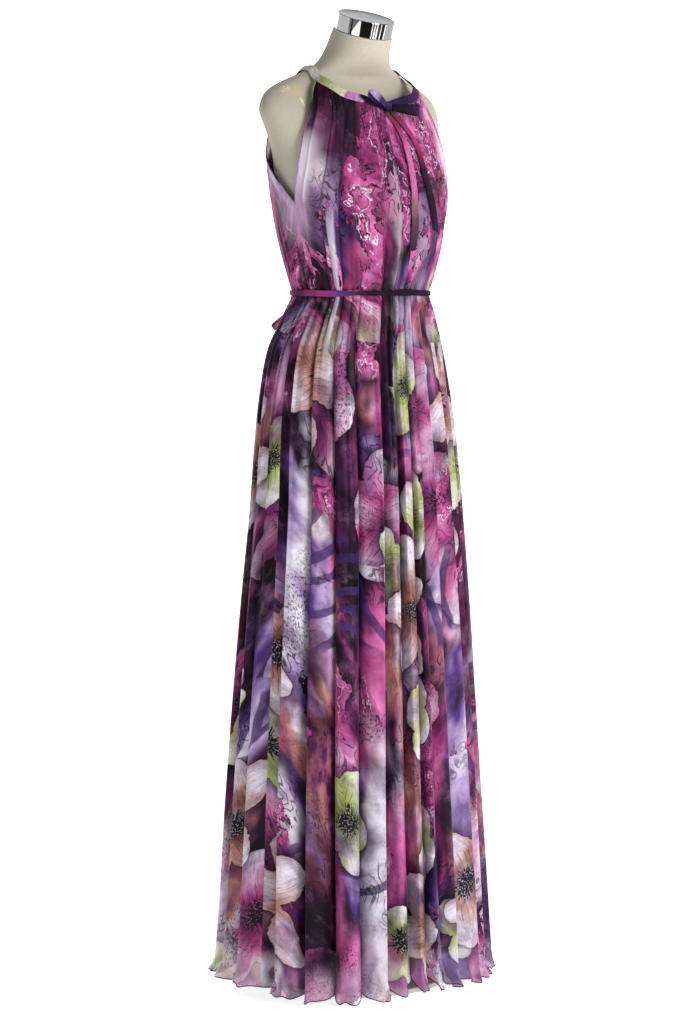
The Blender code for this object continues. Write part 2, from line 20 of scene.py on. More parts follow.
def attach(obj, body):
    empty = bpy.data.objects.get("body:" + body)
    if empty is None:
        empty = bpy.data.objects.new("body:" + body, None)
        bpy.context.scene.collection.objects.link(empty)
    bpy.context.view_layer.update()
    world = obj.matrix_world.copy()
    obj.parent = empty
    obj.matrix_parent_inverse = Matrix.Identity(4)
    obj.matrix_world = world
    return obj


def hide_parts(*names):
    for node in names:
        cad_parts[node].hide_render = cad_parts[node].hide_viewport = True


CLOTH_MAP = "flat_cloth"

# The form and the envelope of the cloth, as oval sections
WAIST_HEIGHT = 1.145
OVAL_POWER = 2.1
WALL = 0.0014
Section = namedtuple("Section", "height half_width front back centre_y")

ENVELOPE = (
    Section(-1.140, 0.251, 0.203, 0.197, 0.004),
    Section(-1.000, 0.240, 0.194, 0.188, 0.004),
    Section(-0.836, 0.230, 0.182, 0.178, 0.004),
    Section(-0.672, 0.219, 0.170, 0.169, 0.002),
    Section(-0.507, 0.206, 0.156, 0.157, -0.001),
    Section(-0.342, 0.192, 0.143, 0.143, -0.003),
    Section(-0.259, 0.184, 0.139, 0.137, 0.000),
    Section(-0.177, 0.174, 0.131, 0.127, 0.003),
    Section(-0.094, 0.157, 0.121, 0.117, 0.003),
    Section(-0.045, 0.137, 0.110, 0.106, -0.005),
    Section(-0.014, 0.1230, 0.102, 0.101, -0.011),
    Section(-0.006, 0.1195, 0.099, 0.099, -0.012),
    Section(0.006, 0.1195, 0.099, 0.099, -0.012),
    Section(0.014, 0.1230, 0.102, 0.101, -0.012),
    Section(0.030, 0.127, 0.108, 0.107, -0.012),
    Section(0.071, 0.139, 0.117, 0.117, -0.012),
    Section(0.112, 0.149, 0.120, 0.120, -0.010),
    Section(0.153, 0.157, 0.120, 0.120, -0.010),
    Section(0.195, 0.163, 0.113, 0.114, -0.005),
    Section(0.236, 0.164, 0.103, 0.108, 0.001),
    Section(0.265, 0.160, 0.096, 0.107, 0.005),
    Section(0.290, 0.150, 0.092, 0.103, 0.008),
    Section(0.310, 0.138, 0.092, 0.097, 0.011),
    Section(0.325, 0.125, 0.093, 0.099, 0.012),
    Section(0.345, 0.105, 0.090, 0.096, 0.010),
    Section(0.365, 0.094, 0.085, 0.084, 0.003),
    Section(0.385, 0.087, 0.080, 0.080, -0.006),
)

FORM = (
    Section(-0.240, 0.128, 0.084, 0.092, -0.002),
    Section(-0.232, 0.138, 0.092, 0.100, -0.002),
    Section(-0.200, 0.149, 0.098, 0.106, -0.002),
    Section(-0.140, 0.149, 0.099, 0.106, -0.004),
    Section(-0.080, 0.135, 0.093, 0.098, -0.008),
    Section(-0.030, 0.116, 0.086, 0.085, -0.012),
    Section(0.000, 0.109, 0.083, 0.081, -0.012),
    Section(0.035, 0.116, 0.089, 0.086, -0.012),
    Section(0.080, 0.127, 0.096, 0.092, -0.010),
    Section(0.153, 0.144, 0.103, 0.099, -0.008),
    Section(0.195, 0.151, 0.096, 0.098, -0.004),
    Section(0.236, 0.157, 0.083, 0.086, 0.002),
    Section(0.265, 0.167, 0.075, 0.077, 0.008),
    Section(0.292, 0.176, 0.066, 0.068, 0.016),
    Section(0.308, 0.174, 0.059, 0.060, 0.019),
    Section(0.322, 0.166, 0.053, 0.054, 0.021),
    Section(0.332, 0.154, 0.049, 0.049, 0.022),
    Section(0.342, 0.136, 0.043, 0.042, 0.020),
    Section(0.352, 0.112, 0.040, 0.039, 0.018),
    Section(0.361, 0.090, 0.043, 0.041, 0.013),
    Section(0.371, 0.071, 0.046, 0.046, 0.008),
    Section(0.383, 0.0590, 0.0490, 0.0500, 0.002),
    Section(0.396, 0.0530, 0.0500, 0.0500, -0.004),
    Section(0.412, 0.0498, 0.0495, 0.0495, -0.012),
    Section(0.4245, 0.0480, 0.0480, 0.0480, -0.0185),
)
NECK_BEND_FROM, NECK_LEAN = 0.352, 19.0
FORM_RINGS, FORM_SIDES = 110, 112

# Folds round the skirt: each trough's angle at the hem and at the waist, the depth of the lobe after it, and how
# far that lobe leans over the next trough (+) or over its own (-), as a share of its width
Fold = namedtuple("Fold", "hem_angle waist_angle depth lean")
FOLDS = (
    Fold(-91.5, -87.5, 1.05, -0.30),
    Fold(-69.0, -75.0, 0.95, -0.42),
    Fold(-56.5, -62.5, 1.00, -0.40),
    Fold(-45.5, -52.0, 1.10, 0.10),
    Fold(-34.0, -37.0, 0.90, 0.42),
    Fold(-21.5, -16.0, 1.10, -0.05),
    Fold(-4.7, -2.5, 0.75, -0.40),
    Fold(4.7, 9.0, 0.70, -0.36),
    Fold(13.0, 17.0, 0.75, 0.15),
    Fold(21.0, 28.0, 1.05, 0.42),
    Fold(37.0, 45.0, 1.00, -0.10),
    Fold(51.0, 59.0, 1.10, -0.42),
    Fold(66.0, 72.0, 0.90, -0.20),
    Fold(80.0, 85.0, 1.00, 0.30),
    Fold(95.0, 98.0, 1.10, 0.42),
    Fold(109.0, 111.0, 0.85, 0.10),
    Fold(122.0, 124.0, 1.00, -0.38),
    Fold(136.0, 137.0, 1.10, -0.42),
    Fold(149.0, 150.0, 0.90, -0.05),
    Fold(163.0, 163.0, 1.05, 0.38),
    Fold(176.0, 176.0, 0.95, 0.42),
    Fold(190.0, 190.0, 1.10, 0.00),
    Fold(204.0, 204.0, 1.00, -0.40),
    Fold(218.0, 219.0, 0.85, -0.10),
    Fold(236.0, 238.0, 1.10, 0.36),
    Fold(252.0, 257.0, 0.95, 0.05),
)
RIGHT_SEAM, LEFT_SEAM = 5 / 6, 12.5
LOBE_ROUNDNESS, BODICE_ROUNDNESS = 0.62, 1.25
STEPS_A_FOLD = 27

# How deep the troughs lie under the envelope, how far a fold has split into two gathers, and how much it leans
Gather = namedtuple("Gather", "height depth split lean")
GATHERS = (
    Gather(-1.140, 0.036, 0.0, 1.0),
    Gather(-0.800, 0.031, 0.0, 1.0),
    Gather(-0.450, 0.023, 0.1, 1.0),
    Gather(-0.220, 0.015, 0.3, 0.9),
    Gather(-0.110, 0.011, 0.6, 0.7),
    Gather(-0.045, 0.0075, 0.9, 0.4),
    Gather(0.000, 0.0040, 1.0, 0.2),
    Gather(0.060, 0.0050, 0.7, 0.5),
    Gather(0.130, 0.0038, 0.3, 0.6),
    Gather(0.250, 0.0026, 0.5, 0.5),
    Gather(0.400, 0.0020, 1.0, 0.2),
)
# On the bodice only some folds stay deep: they come this often, in folds, and one of them is here
DEEP_EVERY, DEEP_AT = 2.62, 2.5
# The depth of all troughs, and what the shallow ones on the bodice lack of it, as shares of the gathers' depth
DEEPEST, SHALLOWER = 1.15, 0.75
# The heights over the waist where the lobes start to be rounder, most folds shallower and the ripples calmer, and
# where they wholly are
ROUNDER, SHALLOWING, CALMER = (0.01, 0.10), (0.0, 0.08), (0.0, 0.10)
# The belt flattens the ripples this much, this near to it
BELT_HOLD, BELT_HOLD_REACH = 0.8, 0.012

# A narrow fold that shows the plain side of the cloth, from the bust to under the belt
Turned = namedtuple("Turned", "place half_width out top bottom")
TURNED = Turned(2.66, 0.19, 0.0030, 0.150, -0.125)

# Smaller ripples over the folds, and gathers by the neckband and the belt: waves round the whole dress, height,
# and wander with height
Ripple = namedtuple("Ripple", "waves height wander")
RIPPLES = (Ripple(47, 0.0012, 1.3), Ripple(71, 0.0009, -2.1), Ripple(113, 0.0005, 2.9))
GATHERED = (Ripple(67, 0.0006, 0.8), Ripple(91, 0.0006, -1.9), Ripple(118, 0.0004, 3.1))
GATHERED_REACH, GATHERED_BY_BELT, BODICE_RIPPLE = 0.04, 0.7, 0.35
RIPPLE_SWELL, GATHERED_WANDER = 5.1, 9

UNDERARM, YOKE_RADIUS = 0.142, 0.13
# Where the cloth starts to be sheer or bare of print, and where it wholly is: distances from the armholes' edges,
# up from the hem and over the waist
SHEER_EDGE, SHEER_HEM = (0.040, 0.012), (0.065, 0.035)
BARE_EDGE_FRONT, BARE_EDGE_BACK, BARE_WAIST = (0.030, 0.010), (0.060, 0.010), (0.06, 0.13)
YOKE_ROWS, SKIRT_ROWS, HEM_ROWS = 46, 170, 14

# The hem's line. Near it the cloth curls and flares out, and in the troughs it rises
Hem = namedtuple("Hem", "angle height")
HEM = (
    Hem(-115, -1.118),
    Hem(-85, -1.120),
    Hem(-60, -1.133),
    Hem(-39, -1.141),
    Hem(-20, -1.133),
    Hem(0, -1.127),
    Hem(20, -1.135),
    Hem(37, -1.139),
    Hem(62, -1.128),
    Hem(115, -1.119),
    Hem(180, -1.124),
    Hem(245, -1.118),
)
HEM_FROM, HEM_LOWEST = -1.085, -1.1440
HEM_CURL, HEM_CURL_HEIGHT, HEM_FLARE = 0.0120, 0.036, 0.0045
HEM_WAVE, HEM_DIP = 0.0080, 0.0145
HEM_RADIUS, HEM_SIDES = 0.0009, 6
# Its waves in and out, and up and down: how many there are round the dress, and their heights
HEM_OUT = ((29, 0.50), (43, 0.45), (64, 0.30))
HEM_DOWN = ((23, 0.45), (37, 0.45), (58, 0.40), (89, 0.20))

# The angles of the panels' edges at the armhole, from the neckband (0) down to the underarm (1)
Armhole = namedtuple("Armhole", "share front back")
ARMHOLE = (
    Armhole(0.00, 69.5, 116.0),
    Armhole(0.12, 66.0, 121.5),
    Armhole(0.27, 66.5, 124.5),
    Armhole(0.42, 68.5, 120.5),
    Armhole(0.58, 70.5, 110.5),
    Armhole(0.72, 72.5, 97.5),
    Armhole(0.80, 74.3, 91.5),
    Armhole(0.90, 76.3, 85.5),
    Armhole(1.00, 78.0, 78.0),
)

# The panels' top edge under the neckband, and how far the band leans in there, in degrees
Neckline = namedtuple("Neckline", "angle height lean")
NECKLINE = (
    Neckline(0, 0.2930, 25),
    Neckline(26, 0.3055, 27),
    Neckline(43, 0.3130, 31),
    Neckline(56, 0.3280, 40),
    Neckline(78, 0.3475, 52),
    Neckline(90, 0.3590, 56),
    Neckline(108, 0.3610, 56),
    Neckline(125, 0.3610, 48),
    Neckline(150, 0.3600, 32),
    Neckline(180, 0.3590, 25),
)
BAND_WIDTH, BAND_THICK, BAND_STEPS = 0.015, 0.0020, 240
# How far the panels' top edge runs up under the band, and how far off the cloth the strips lie
TUCK, OFF_CLOTH = 0.0035, 0.0002
BINDING_WIDTH, BINDING_THICK, BINDING_OUT = 0.0026, 0.0015, 0.0006
# Under the arm a binding turns upright, this many rows to each side
BINDING_TURN = 1.5
UPWARD = np.array((0.0, 0.0, 1.0))

# How much wider the flat cloth is than the gathered row, by height. The print is drawn on the flat cloth
Fullness = namedtuple("Fullness", "height times")
FULLNESS = (
    Fullness(-1.14, 1.0),
    Fullness(-0.40, 1.05),
    Fullness(-0.12, 1.25),
    Fullness(0.00, 1.6),
    Fullness(0.10, 1.25),
    Fullness(0.20, 1.15),
    Fullness(0.36, 1.7),
)
# The row that the print is laid out by, the cloth tucked away in a trough under the belt and above it, and where
# on the cloth the back panel is cut
PRINT_HEIGHT, TUCKED, TUCKED_ABOVE, BACK_PRINT = -0.8, 0.16, 0.02, 6.0

# Ties, and half the size of their knots. A tail's end is cut on a slant, over its last steps
NECK_TIE, BELT_TIE, TIE_THICK, NECK_TAIL_THICK, TAIL_OUT = 0.016, 0.009, 0.0014, 0.0030, 0.0006
TAIL_STEPS, SLANT_STEPS, LOOP_STEPS = 90, 13, 72
KNOT_PRINT = 1.5
NECK_KNOT, BELT_KNOT = Vector((0.0075, 0.0045, 0.0075)), Vector((0.0060, 0.0045, 0.0060))
NECK_KNOT_OUT, BELT_KNOT_OUT = 0.0027, 0.0030
# Places down a tail, and its width there as a share of the tie's
TailPoint = namedtuple("TailPoint", "height angle width")
NECK_TAIL_RIGHT = (
    TailPoint(0.2955, -2.0, 0.40),
    TailPoint(0.287, 0.5, 0.45),
    TailPoint(0.277, 6.5, 0.55),
    TailPoint(0.256, 12.0, 0.68),
    TailPoint(0.236, 13.5, 0.75),
    TailPoint(0.190, 11.5, 0.80),
    TailPoint(0.144, 9.0, 0.85),
    TailPoint(0.109, 10.0, 1.00),
    TailPoint(0.068, 7.5, 0.95),
)
NECK_TAIL_LEFT = (
    TailPoint(0.2955, 3.0, 0.40),
    TailPoint(0.287, 8.0, 0.45),
    TailPoint(0.275, 16.0, 0.55),
    TailPoint(0.256, 23.5, 0.65),
    TailPoint(0.236, 26.5, 0.70),
    TailPoint(0.190, 26.0, 0.85),
    TailPoint(0.155, 27.5, 1.00),
    TailPoint(0.102, 35.0, 1.10),
)
BELT_TAIL_RIGHT = (
    TailPoint(-0.0075, 182.5, 0.60),
    TailPoint(-0.050, 185.0, 1.00),
    TailPoint(-0.150, 186.5, 1.00),
    TailPoint(-0.310, 189.0, 1.00),
)
BELT_TAIL_LEFT = (
    TailPoint(-0.0075, 177.5, 0.60),
    TailPoint(-0.050, 175.0, 1.00),
    TailPoint(-0.140, 174.5, 1.00),
    TailPoint(-0.280, 171.0, 1.00),
)
# Loops of the bows: the tip's place from the knot, the tie's width, how far the loop opens and how pointed it is
Loop = namedtuple("Loop", "tip width spread point")
NECK_LOOP_RIGHT = Loop(Vector((-0.037, -0.005, 0.021)), 0.017, 0.005, 0.75)
NECK_LOOP_LEFT = Loop(Vector((0.044, -0.015, -0.004)), 0.019, 0.006, 0.0)
BELT_LOOP_RIGHT = Loop(Vector((-0.070, 0.037, -0.055)), 0.012, 0.008, 0.2)
BELT_LOOP_LEFT = Loop(Vector((0.066, 0.022, -0.038)), 0.011, 0.010, 0.0)
# The share of its width that a loop has in the knot
LOOP_ROOT, LOOP_THICK = 0.55, 0.0011
BELT_HEIGHT, BELT_THICK, BELT_STEPS = 0.009, 0.0026, 220

# Old glue on the form's right shoulder, and a loose thread by it, by their places in the scene
GLUE, GLUE_FLAKES = (-0.131, -0.009, 1.472), (-0.1435, 0.001, 1.4745)
THREAD_START, THREAD_END = (-0.1285, -0.017, 1.461), (-0.1240, -0.0279, 1.4454)

# Neck cap
CAP_RADIUS, CAP_THICK, CAP_SIDES = 0.0475, 0.027, 128
# The radius of its rim, how deep its top is dished, and how far it stands off the neck
CAP_RIM, CAP_DISH, CAP_UP = 0.0014, 0.0004, 0.0003

# Camera
CAMERA_DISTANCE, CAMERA_AZIMUTH, CAMERA_TILT, CAMERA_TURN = 4.9, -37.0, 4.2, 0.116
CAMERA_LENS, CAMERA_SENSOR = 104.4, 36.0


def smooth(rows, at):
    """Values of a table's columns at places in its first column, on a smooth curve through the rows."""
    table = np.array(rows, float)
    places, values = table[:, 0], table[:, 1:]
    at = np.clip(np.asarray(at, float), places[0], places[-1])
    i = np.clip(np.searchsorted(places, at) - 1, 0, len(places) - 2)
    before, after = np.maximum(i - 1, 0), np.minimum(i + 2, len(places) - 1)
    span = (places[i + 1] - places[i])[..., None]
    start = (values[i + 1] - values[before]) / (places[i + 1] - places[before])[..., None]
    end = (values[after] - values[i]) / (places[after] - places[i])[..., None]
    t = (at - places[i])[..., None] / span
    curve = (
        (2 * t**3 - 3 * t**2 + 1) * values[i]
        + (t**3 - 2 * t**2 + t) * span * start
        + (3 * t**2 - 2 * t**3) * values[i + 1]
        + (t**3 - t**2) * span * end
    )
    return np.moveaxis(curve, -1, 0)


def ease(value, low, high):
    """0 up to low and 1 from high on, with a smooth rise between them. High may be under low."""
    t = np.clip((np.asarray(value, float) - low) / (high - low), 0, 1)
    return t * t * (3 - 2 * t)


def oval(table, height, angle):
    """The radii of a table's oval sections at heights and angles, and the y of their centres."""
    half_width, front, back, centre_y = smooth(table, height)
    depth = np.where(np.cos(angle) > 0, front, back)
    across, ahead = np.abs(np.sin(angle)) / half_width, np.abs(np.cos(angle)) / depth
    return (across**OVAL_POWER + ahead**OVAL_POWER) ** (-1 / OVAL_POWER), centre_y


def on_envelope(angle, height, out=0.0):
    """Points on the cloth's envelope, or that far outside it."""
    angle, height = np.broadcast_arrays(np.asarray(angle, float), np.asarray(height, float))
    radius, centre_y = oval(ENVELOPE, height, angle)
    radius = radius + out
    return np.stack([radius * np.sin(angle), centre_y - radius * np.cos(angle), WAIST_HEIGHT + height], -1)


def neckline(angle):
    """The height of the panels' top edge at angles, and the lean of the band there, in radians."""
    height, lean = smooth(NECKLINE, np.abs((np.degrees(angle) + 180) % 360 - 180))
    return height, np.radians(lean)


def up_the_band(angle, lean):
    """The directions that run up the leaning neckband at angles."""
    return np.stack([-np.sin(angle) * np.sin(lean), np.cos(angle) * np.sin(lean), np.cos(lean)], -1)


def at_troughs(column, places):
    """A column of fold angles at places round the cloth, in radians."""
    angles = [getattr(fold, column) for fold in FOLDS]
    angles += [angle + 360 for angle in angles[:3]]
    return np.radians(np.interp(places, range(len(angles)), angles))


def at_crests(column, places):
    """A column that has one value for each fold, blended from fold to fold."""
    values = [getattr(fold, column) for fold in FOLDS]
    values = [values[-1]] + values + values[:3]
    return np.interp(places, np.arange(len(values)) - 0.5, values)


def turn_round(places):
    """How far round the dress places are, in radians."""
    return math.tau * places / len(FOLDS)


def ripple(places, heights):
    """Small waves of the cloth, which come and go along the folds."""
    turn = turn_round(places)
    total = 0.0
    for i, wave in enumerate(RIPPLES):
        swell = 0.5 + 0.5 * np.sin(RIPPLE_SWELL * heights * (i + 1) + turn * (3 + i) + i)
        total = total + wave.height * swell * np.sin(wave.waves * turn + wave.wander * heights + 2 * i)
    return total


def gathered(heights, tops):
    """1 at the neckband and by the belt, and less away from them."""
    by_band, by_belt = np.exp((heights - tops) / GATHERED_REACH), np.exp(-np.abs(heights) / GATHERED_REACH)
    return np.minimum(by_band + GATHERED_BY_BELT * by_belt, 1.0)


def fine_gathers(places, heights):
    """Small gathers that fade away from the neckband and from the belt."""
    turn = turn_round(places)
    far = GATHERED_WANDER * heights
    waves = sum(wave.height * np.sin(wave.waves * turn + wave.wander * far) for wave in GATHERED)
    return gathered(heights, NECKLINE[len(NECKLINE) // 2].height) * waves


def hem_wave(places, waves):
    """An uneven wave round the hem, from about -1 to 1."""
    turn = turn_round(places)
    return sum(height * np.sin(cycles * turn + 1.7 * i) for i, (cycles, height) in enumerate(waves))


def cloth(places, angles, heights, hem_heights):
    """Points of the chiffon at places round it, with their angles round the envelope and their heights."""
    depth, split, lean = smooth(GATHERS, heights)
    roundness = LOBE_ROUNDNESS + (BODICE_ROUNDNESS - LOBE_ROUNDNESS) * ease(heights, *ROUNDER)
    whole = np.abs(np.sin(math.pi * places)) ** roundness
    halves = np.abs(np.sin(math.tau * places)) ** roundness
    crest = (1 - split) * whole + split * halves
    width = at_troughs("hem_angle", np.floor(places) + 1) - at_troughs("hem_angle", np.floor(places))
    over = at_crests("lean", places) * lean * width * whole
    deep = 0.5 + 0.5 * np.cos(math.tau * (places - DEEP_AT) / DEEP_EVERY)
    shallow = SHALLOWER * ease(heights, *SHALLOWING) * (1 - deep)
    under = depth * at_crests("depth", places) * (1 - crest) * (DEEPEST - shallow) + WALL / 2
    low = ease(heights - hem_heights, HEM_CURL_HEIGHT, 0.0) ** 2
    curl = low * (HEM_CURL * (0.3 + hem_wave(places, HEM_OUT)) + HEM_FLARE * whole * np.sin(1.9 * places))
    loose = 1 - BELT_HOLD * np.exp(-((heights / BELT_HOLD_REACH) ** 2))
    calm = 1 - (1 - BODICE_RIPPLE) * ease(heights, *CALMER)
    waves = ripple(places, heights) * calm + fine_gathers(places, heights)
    waves += TURNED.out * turned(places, heights)
    return on_envelope(angles + over, heights, -under + curl + waves * loose)


def turned(places, heights):
    """1 on the narrow turned fold, and 0 off it."""
    across = ease(np.abs(places - TURNED.place), TURNED.half_width, TURNED.half_width * 0.6)
    ends = ease(heights, TURNED.top, TURNED.top - 0.05) * ease(heights, TURNED.bottom, TURNED.bottom + 0.08)
    return across * ends


def fold_places(first, last):
    """Places across a panel, closer together near the troughs."""
    even = np.linspace(0, 1, STEPS_A_FOLD + 1)[:-1]
    share = 0.5 * even + 0.5 * (1 - np.cos(math.pi * even)) / 2
    places = np.concatenate([i + share for i in range(math.floor(first), math.ceil(last))])
    inside = places[(places > first + 0.01) & (places < last - 0.01)]
    return np.concatenate([[first], inside, [last]])


def hem_line(places, angles):
    """The heights of the hem: its line round the dress, with waves and a rise in each trough."""
    degrees = np.degrees(angles)
    line = smooth(HEM, np.where(degrees > HEM[-1].angle, degrees - 360, degrees))[0]
    trough = 0.85 - np.abs(np.sin(math.pi * places)) ** 0.7
    rise = HEM_WAVE * (0.25 + 0.5 * hem_wave(places, HEM_DOWN)) + HEM_DIP * trough
    return np.maximum(line + rise, HEM_LOWEST)


def yoke_rows(waist, front):
    """The yoke's angles and heights in rows from the neckband to the underarm, and how sheer and how bare of
    print it is."""
    middle = 0.0 if front else math.pi
    near_first = waist < middle
    share = np.linspace(0, 1, YOKE_ROWS)[:, None]
    edge = np.radians(smooth(ARMHOLE, share)[0 if front else 1])
    end = middle + np.where(near_first, -1, 1) * np.abs(edge - middle)
    seam = np.where(near_first, waist[0], waist[-1])
    angles = middle + (waist - middle) * (end - middle) / (seam - middle)
    top = neckline(angles)[0]
    from_edge = np.abs(end - angles) * YOKE_RADIUS
    sheer = ease(from_edge, *SHEER_EDGE) * ease(share, 0.15, 0.45) * ease(share, 1.0, 0.7)
    bare = ease(from_edge, *(BARE_EDGE_FRONT if front else BARE_EDGE_BACK)) * ease(share, 0.35, 0.60)
    return angles, top + (UNDERARM - top) * share, sheer, bare


def panel_rows(places, front):
    """A panel's points in rows from the neckband to the hem, with their heights, and what the materials read
    there, from 0 to 1: how sheer the cloth is, how bare of print it is, where it shows its plain side, and where
    it is pleated."""
    waist, hem = at_troughs("waist_angle", places), at_troughs("hem_angle", places)
    angles, heights, sheer, bare = yoke_rows(waist, front)
    hem_height = hem_line(places, hem)
    down = np.linspace(UNDERARM, HEM_FROM, SKIRT_ROWS)[1:, None]
    last = HEM_FROM + (hem_height - HEM_FROM) * np.linspace(0, 1, HEM_ROWS)[1:, None]
    low = np.concatenate([down + np.zeros_like(places), last])
    below = np.clip(low / ENVELOPE[0].height, 0, 1)
    heights = np.concatenate([heights, low])
    angles = np.concatenate([angles, waist + (hem - waist) * below])
    points = cloth(places, angles, heights, hem_height)
    points[0] += TUCK * up_the_band(angles[0], neckline(angles[0])[1])
    return points, heights, {
        "sheer": np.concatenate([sheer, ease(low - hem_height, *SHEER_HEM)]),
        "bare": np.concatenate([bare, bare[-1] * ease(low, *BARE_WAIST)]),
        "plain": turned(places, heights),
        "pleated": gathered(heights, heights[0]),
    }


def flat_across(points, heights, places, offset, tucked):
    """Where the faces between a panel's columns lie across the flat cloth, row by row: their starts and ends.
    Between two folds they don't meet, because cloth is tucked away in the trough."""
    steps = np.linalg.norm(np.diff(points, axis=1), axis=2)
    gaps = tucked * np.abs(at_crests("lean", places[1:] - 0.5))
    gaps = np.where(np.isclose(places[1:] % 1.0, 0), gaps, 0.0)
    reference = int(np.argmin(np.abs(heights[:, 0] - PRINT_HEIGHT)))
    right = np.cumsum(steps[reference] + np.concatenate([[0], gaps[:-1]]))
    left = right - steps[reference]
    centre = right[-1] / 2
    widths = steps.sum(axis=1)
    # The curl and the waves of the hem don't widen the print
    widths[1 - HEM_ROWS :] = widths[-HEM_ROWS]
    scale = (smooth(FULLNESS, heights.mean(axis=1))[0] * widths / widths[reference])[:, None]
    return offset + (left - centre) * scale, offset + (right - centre) * scale


def print_corners(points, heights, places, offset):
    """The print's coordinates at the corners of a panel's faces. Little cloth is tucked away above the belt."""
    falls = np.linalg.norm(np.diff(points, axis=0), axis=2)
    down = np.concatenate([np.zeros((1, points.shape[1])), np.cumsum(falls, axis=0)])
    down = down + (NECKLINE[-1].height - heights[0])
    skirt = flat_across(points, heights, places, offset, TUCKED)
    bodice = flat_across(points, heights, places, offset, TUCKED_ABOVE)
    rows, cols = heights.shape
    above = (heights[1:].mean(axis=1) > 0)[:, None]
    corners = np.empty((rows - 1, cols - 1, 4, 2))
    for corner, (side, row) in enumerate(((0, 0), (0, 1), (1, 1), (1, 0))):
        part = slice(row, rows - 1 + row)
        corners[..., corner, 0] = np.where(above, bodice[side][part], skirt[side][part])
        corners[..., corner, 1] = -down[part, side : cols - 1 + side]
    return corners


def link(made):
    """Puts a new piece in the scene, on the frame's one body."""
    bpy.context.scene.collection.objects.link(made)
    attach(made, "root")
    return made


def ring_angles(count):
    """Even angles all round."""
    return math.tau * np.arange(count) / count


def unit(vectors):
    """The same directions, with a length of 1."""
    return vectors / np.linalg.norm(vectors, axis=-1, keepdims=True)


def square_to(run, vectors):
    """The unit vectors nearest to these ones that are square to a line's directions."""
    return unit(vectors - (vectors * run).sum(-1, keepdims=True) * run)


def directions(middles, closed=False):
    """Unit directions along a line of points."""
    if closed:
        return unit(np.roll(middles, -1, axis=0) - np.roll(middles, 1, axis=0))
    return unit(np.gradient(middles, axis=0))


def grid_faces(rows, cols, around=False):
    """The faces of a grid of points, whose columns may close round."""
    r, c = np.meshgrid(np.arange(rows - 1), np.arange(cols if around else cols - 1), indexing="ij")
    a, b = r * cols + c, r * cols + (c + 1) % cols
    return np.stack([a, a + cols, b + cols, b], -1).reshape(-1, 4)


def end_faces(rows, cols):
    """The two faces that shut the ends of a grid whose columns close round."""
    return [list(range(cols))[::-1], list(range((rows - 1) * cols, rows * cols))]


def turned_faces(rows, cols):
    """The outward faces of a solid that goes all round, from its lowest ring to its highest."""
    return grid_faces(rows, cols, around=True)[:, ::-1].tolist() + end_faces(rows, cols)


def strip_faces(rows, cols, closed):
    """The faces of a tube of rings, with its two ends shut unless it closes on itself."""
    r, c = np.meshgrid(np.arange(rows if closed else rows - 1), np.arange(cols), indexing="ij")
    here, there = r * cols, (r + 1) % rows * cols
    beside = (c + 1) % cols
    faces = np.stack([here + c, here + beside, there + beside, there + c], -1).reshape(-1, 4).tolist()
    return faces if closed else faces + end_faces(rows, cols)


def mesh_from(name, points, faces, finishes):
    """A smooth-shaded mesh object from points and faces."""
    mesh = bpy.data.meshes.new(name)
    places = np.asarray(points).reshape(-1, 3).tolist()
    mesh.from_pydata(places, [], [list(map(int, face)) for face in faces])
    mesh.shade_smooth()
    for finish in finishes:
        mesh.materials.append(finish)
    return bpy.data.objects.new(name, mesh)


def add_uv(mesh, pairs):
    """The print's coordinates in metres, one pair for each face corner."""
    layer = mesh.uv_layers.new(name=CLOTH_MAP)
    layer.data.foreach_set("uv", np.asarray(pairs, np.float32).ravel())


def add_values(mesh, name, values):
    """A number for each point, that a material reads by its name."""
    attribute = mesh.attributes.new(name, "FLOAT", "POINT")
    attribute.data.foreach_set("value", np.asarray(values, np.float32).ravel())


def cut_size(points):
    """The width, length and area that the cloth of a grid was cut to, laid flat."""
    across = np.linalg.norm(np.diff(points, axis=1), axis=2)
    down = np.linalg.norm(np.diff(points, axis=0), axis=2)
    area = float((across[:-1] * down[:, :-1]).sum())
    width, length = float(across.sum(axis=1).max()), float(down.sum(axis=0).max())
    return (round(width, 3), round(length, 3)), round(area, 3)


def build_panel(name, node, first, last, front, offset):
    """A panel of the dress, with its rolled hem. Returns both, and the panel's grid of points."""
    places = fold_places(first, last)
    points, heights, values = panel_rows(places, front)
    panel = mesh_from(name, points, grid_faces(*points.shape[:2]), [LINED, SHEER])
    add_uv(panel.data, print_corners(points, heights, places, offset))
    for value in values:
        add_values(panel.data, value, values[value])
    sheer = values["sheer"] > 0
    see_through = sheer[:-1, :-1] | sheer[1:, 1:] | sheer[1:, :-1] | sheer[:-1, 1:]
    panel.data.polygons.foreach_set("material_index", see_through.astype(np.int32).ravel())
    link(panel)
    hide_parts(node)
    return panel, build_hem(name.replace("cloth", "hem"), points[-1]), points


def declare_panel(points):
    """A panel's cut size and area, its area never over that of the rectangle that it is cut from. They are worked
    out and not used.
    """
    flat, area = cut_size(points)
    area = min(area, flat[0] * flat[1])


def build_hem(name, edge):
    """The thin roll along a panel's bottom edge."""
    run = directions(edge)
    out = unit(np.cross(run, UPWARD))
    up = np.cross(out, run)
    turn = ring_angles(HEM_SIDES)[:, None]
    ring = edge[:, None] + HEM_RADIUS * (np.cos(turn) * out[:, None] + np.sin(turn) * up[:, None])
    faces = strip_faces(len(edge), HEM_SIDES, False)
    return link(mesh_from(name, ring, faces, [THREAD]))


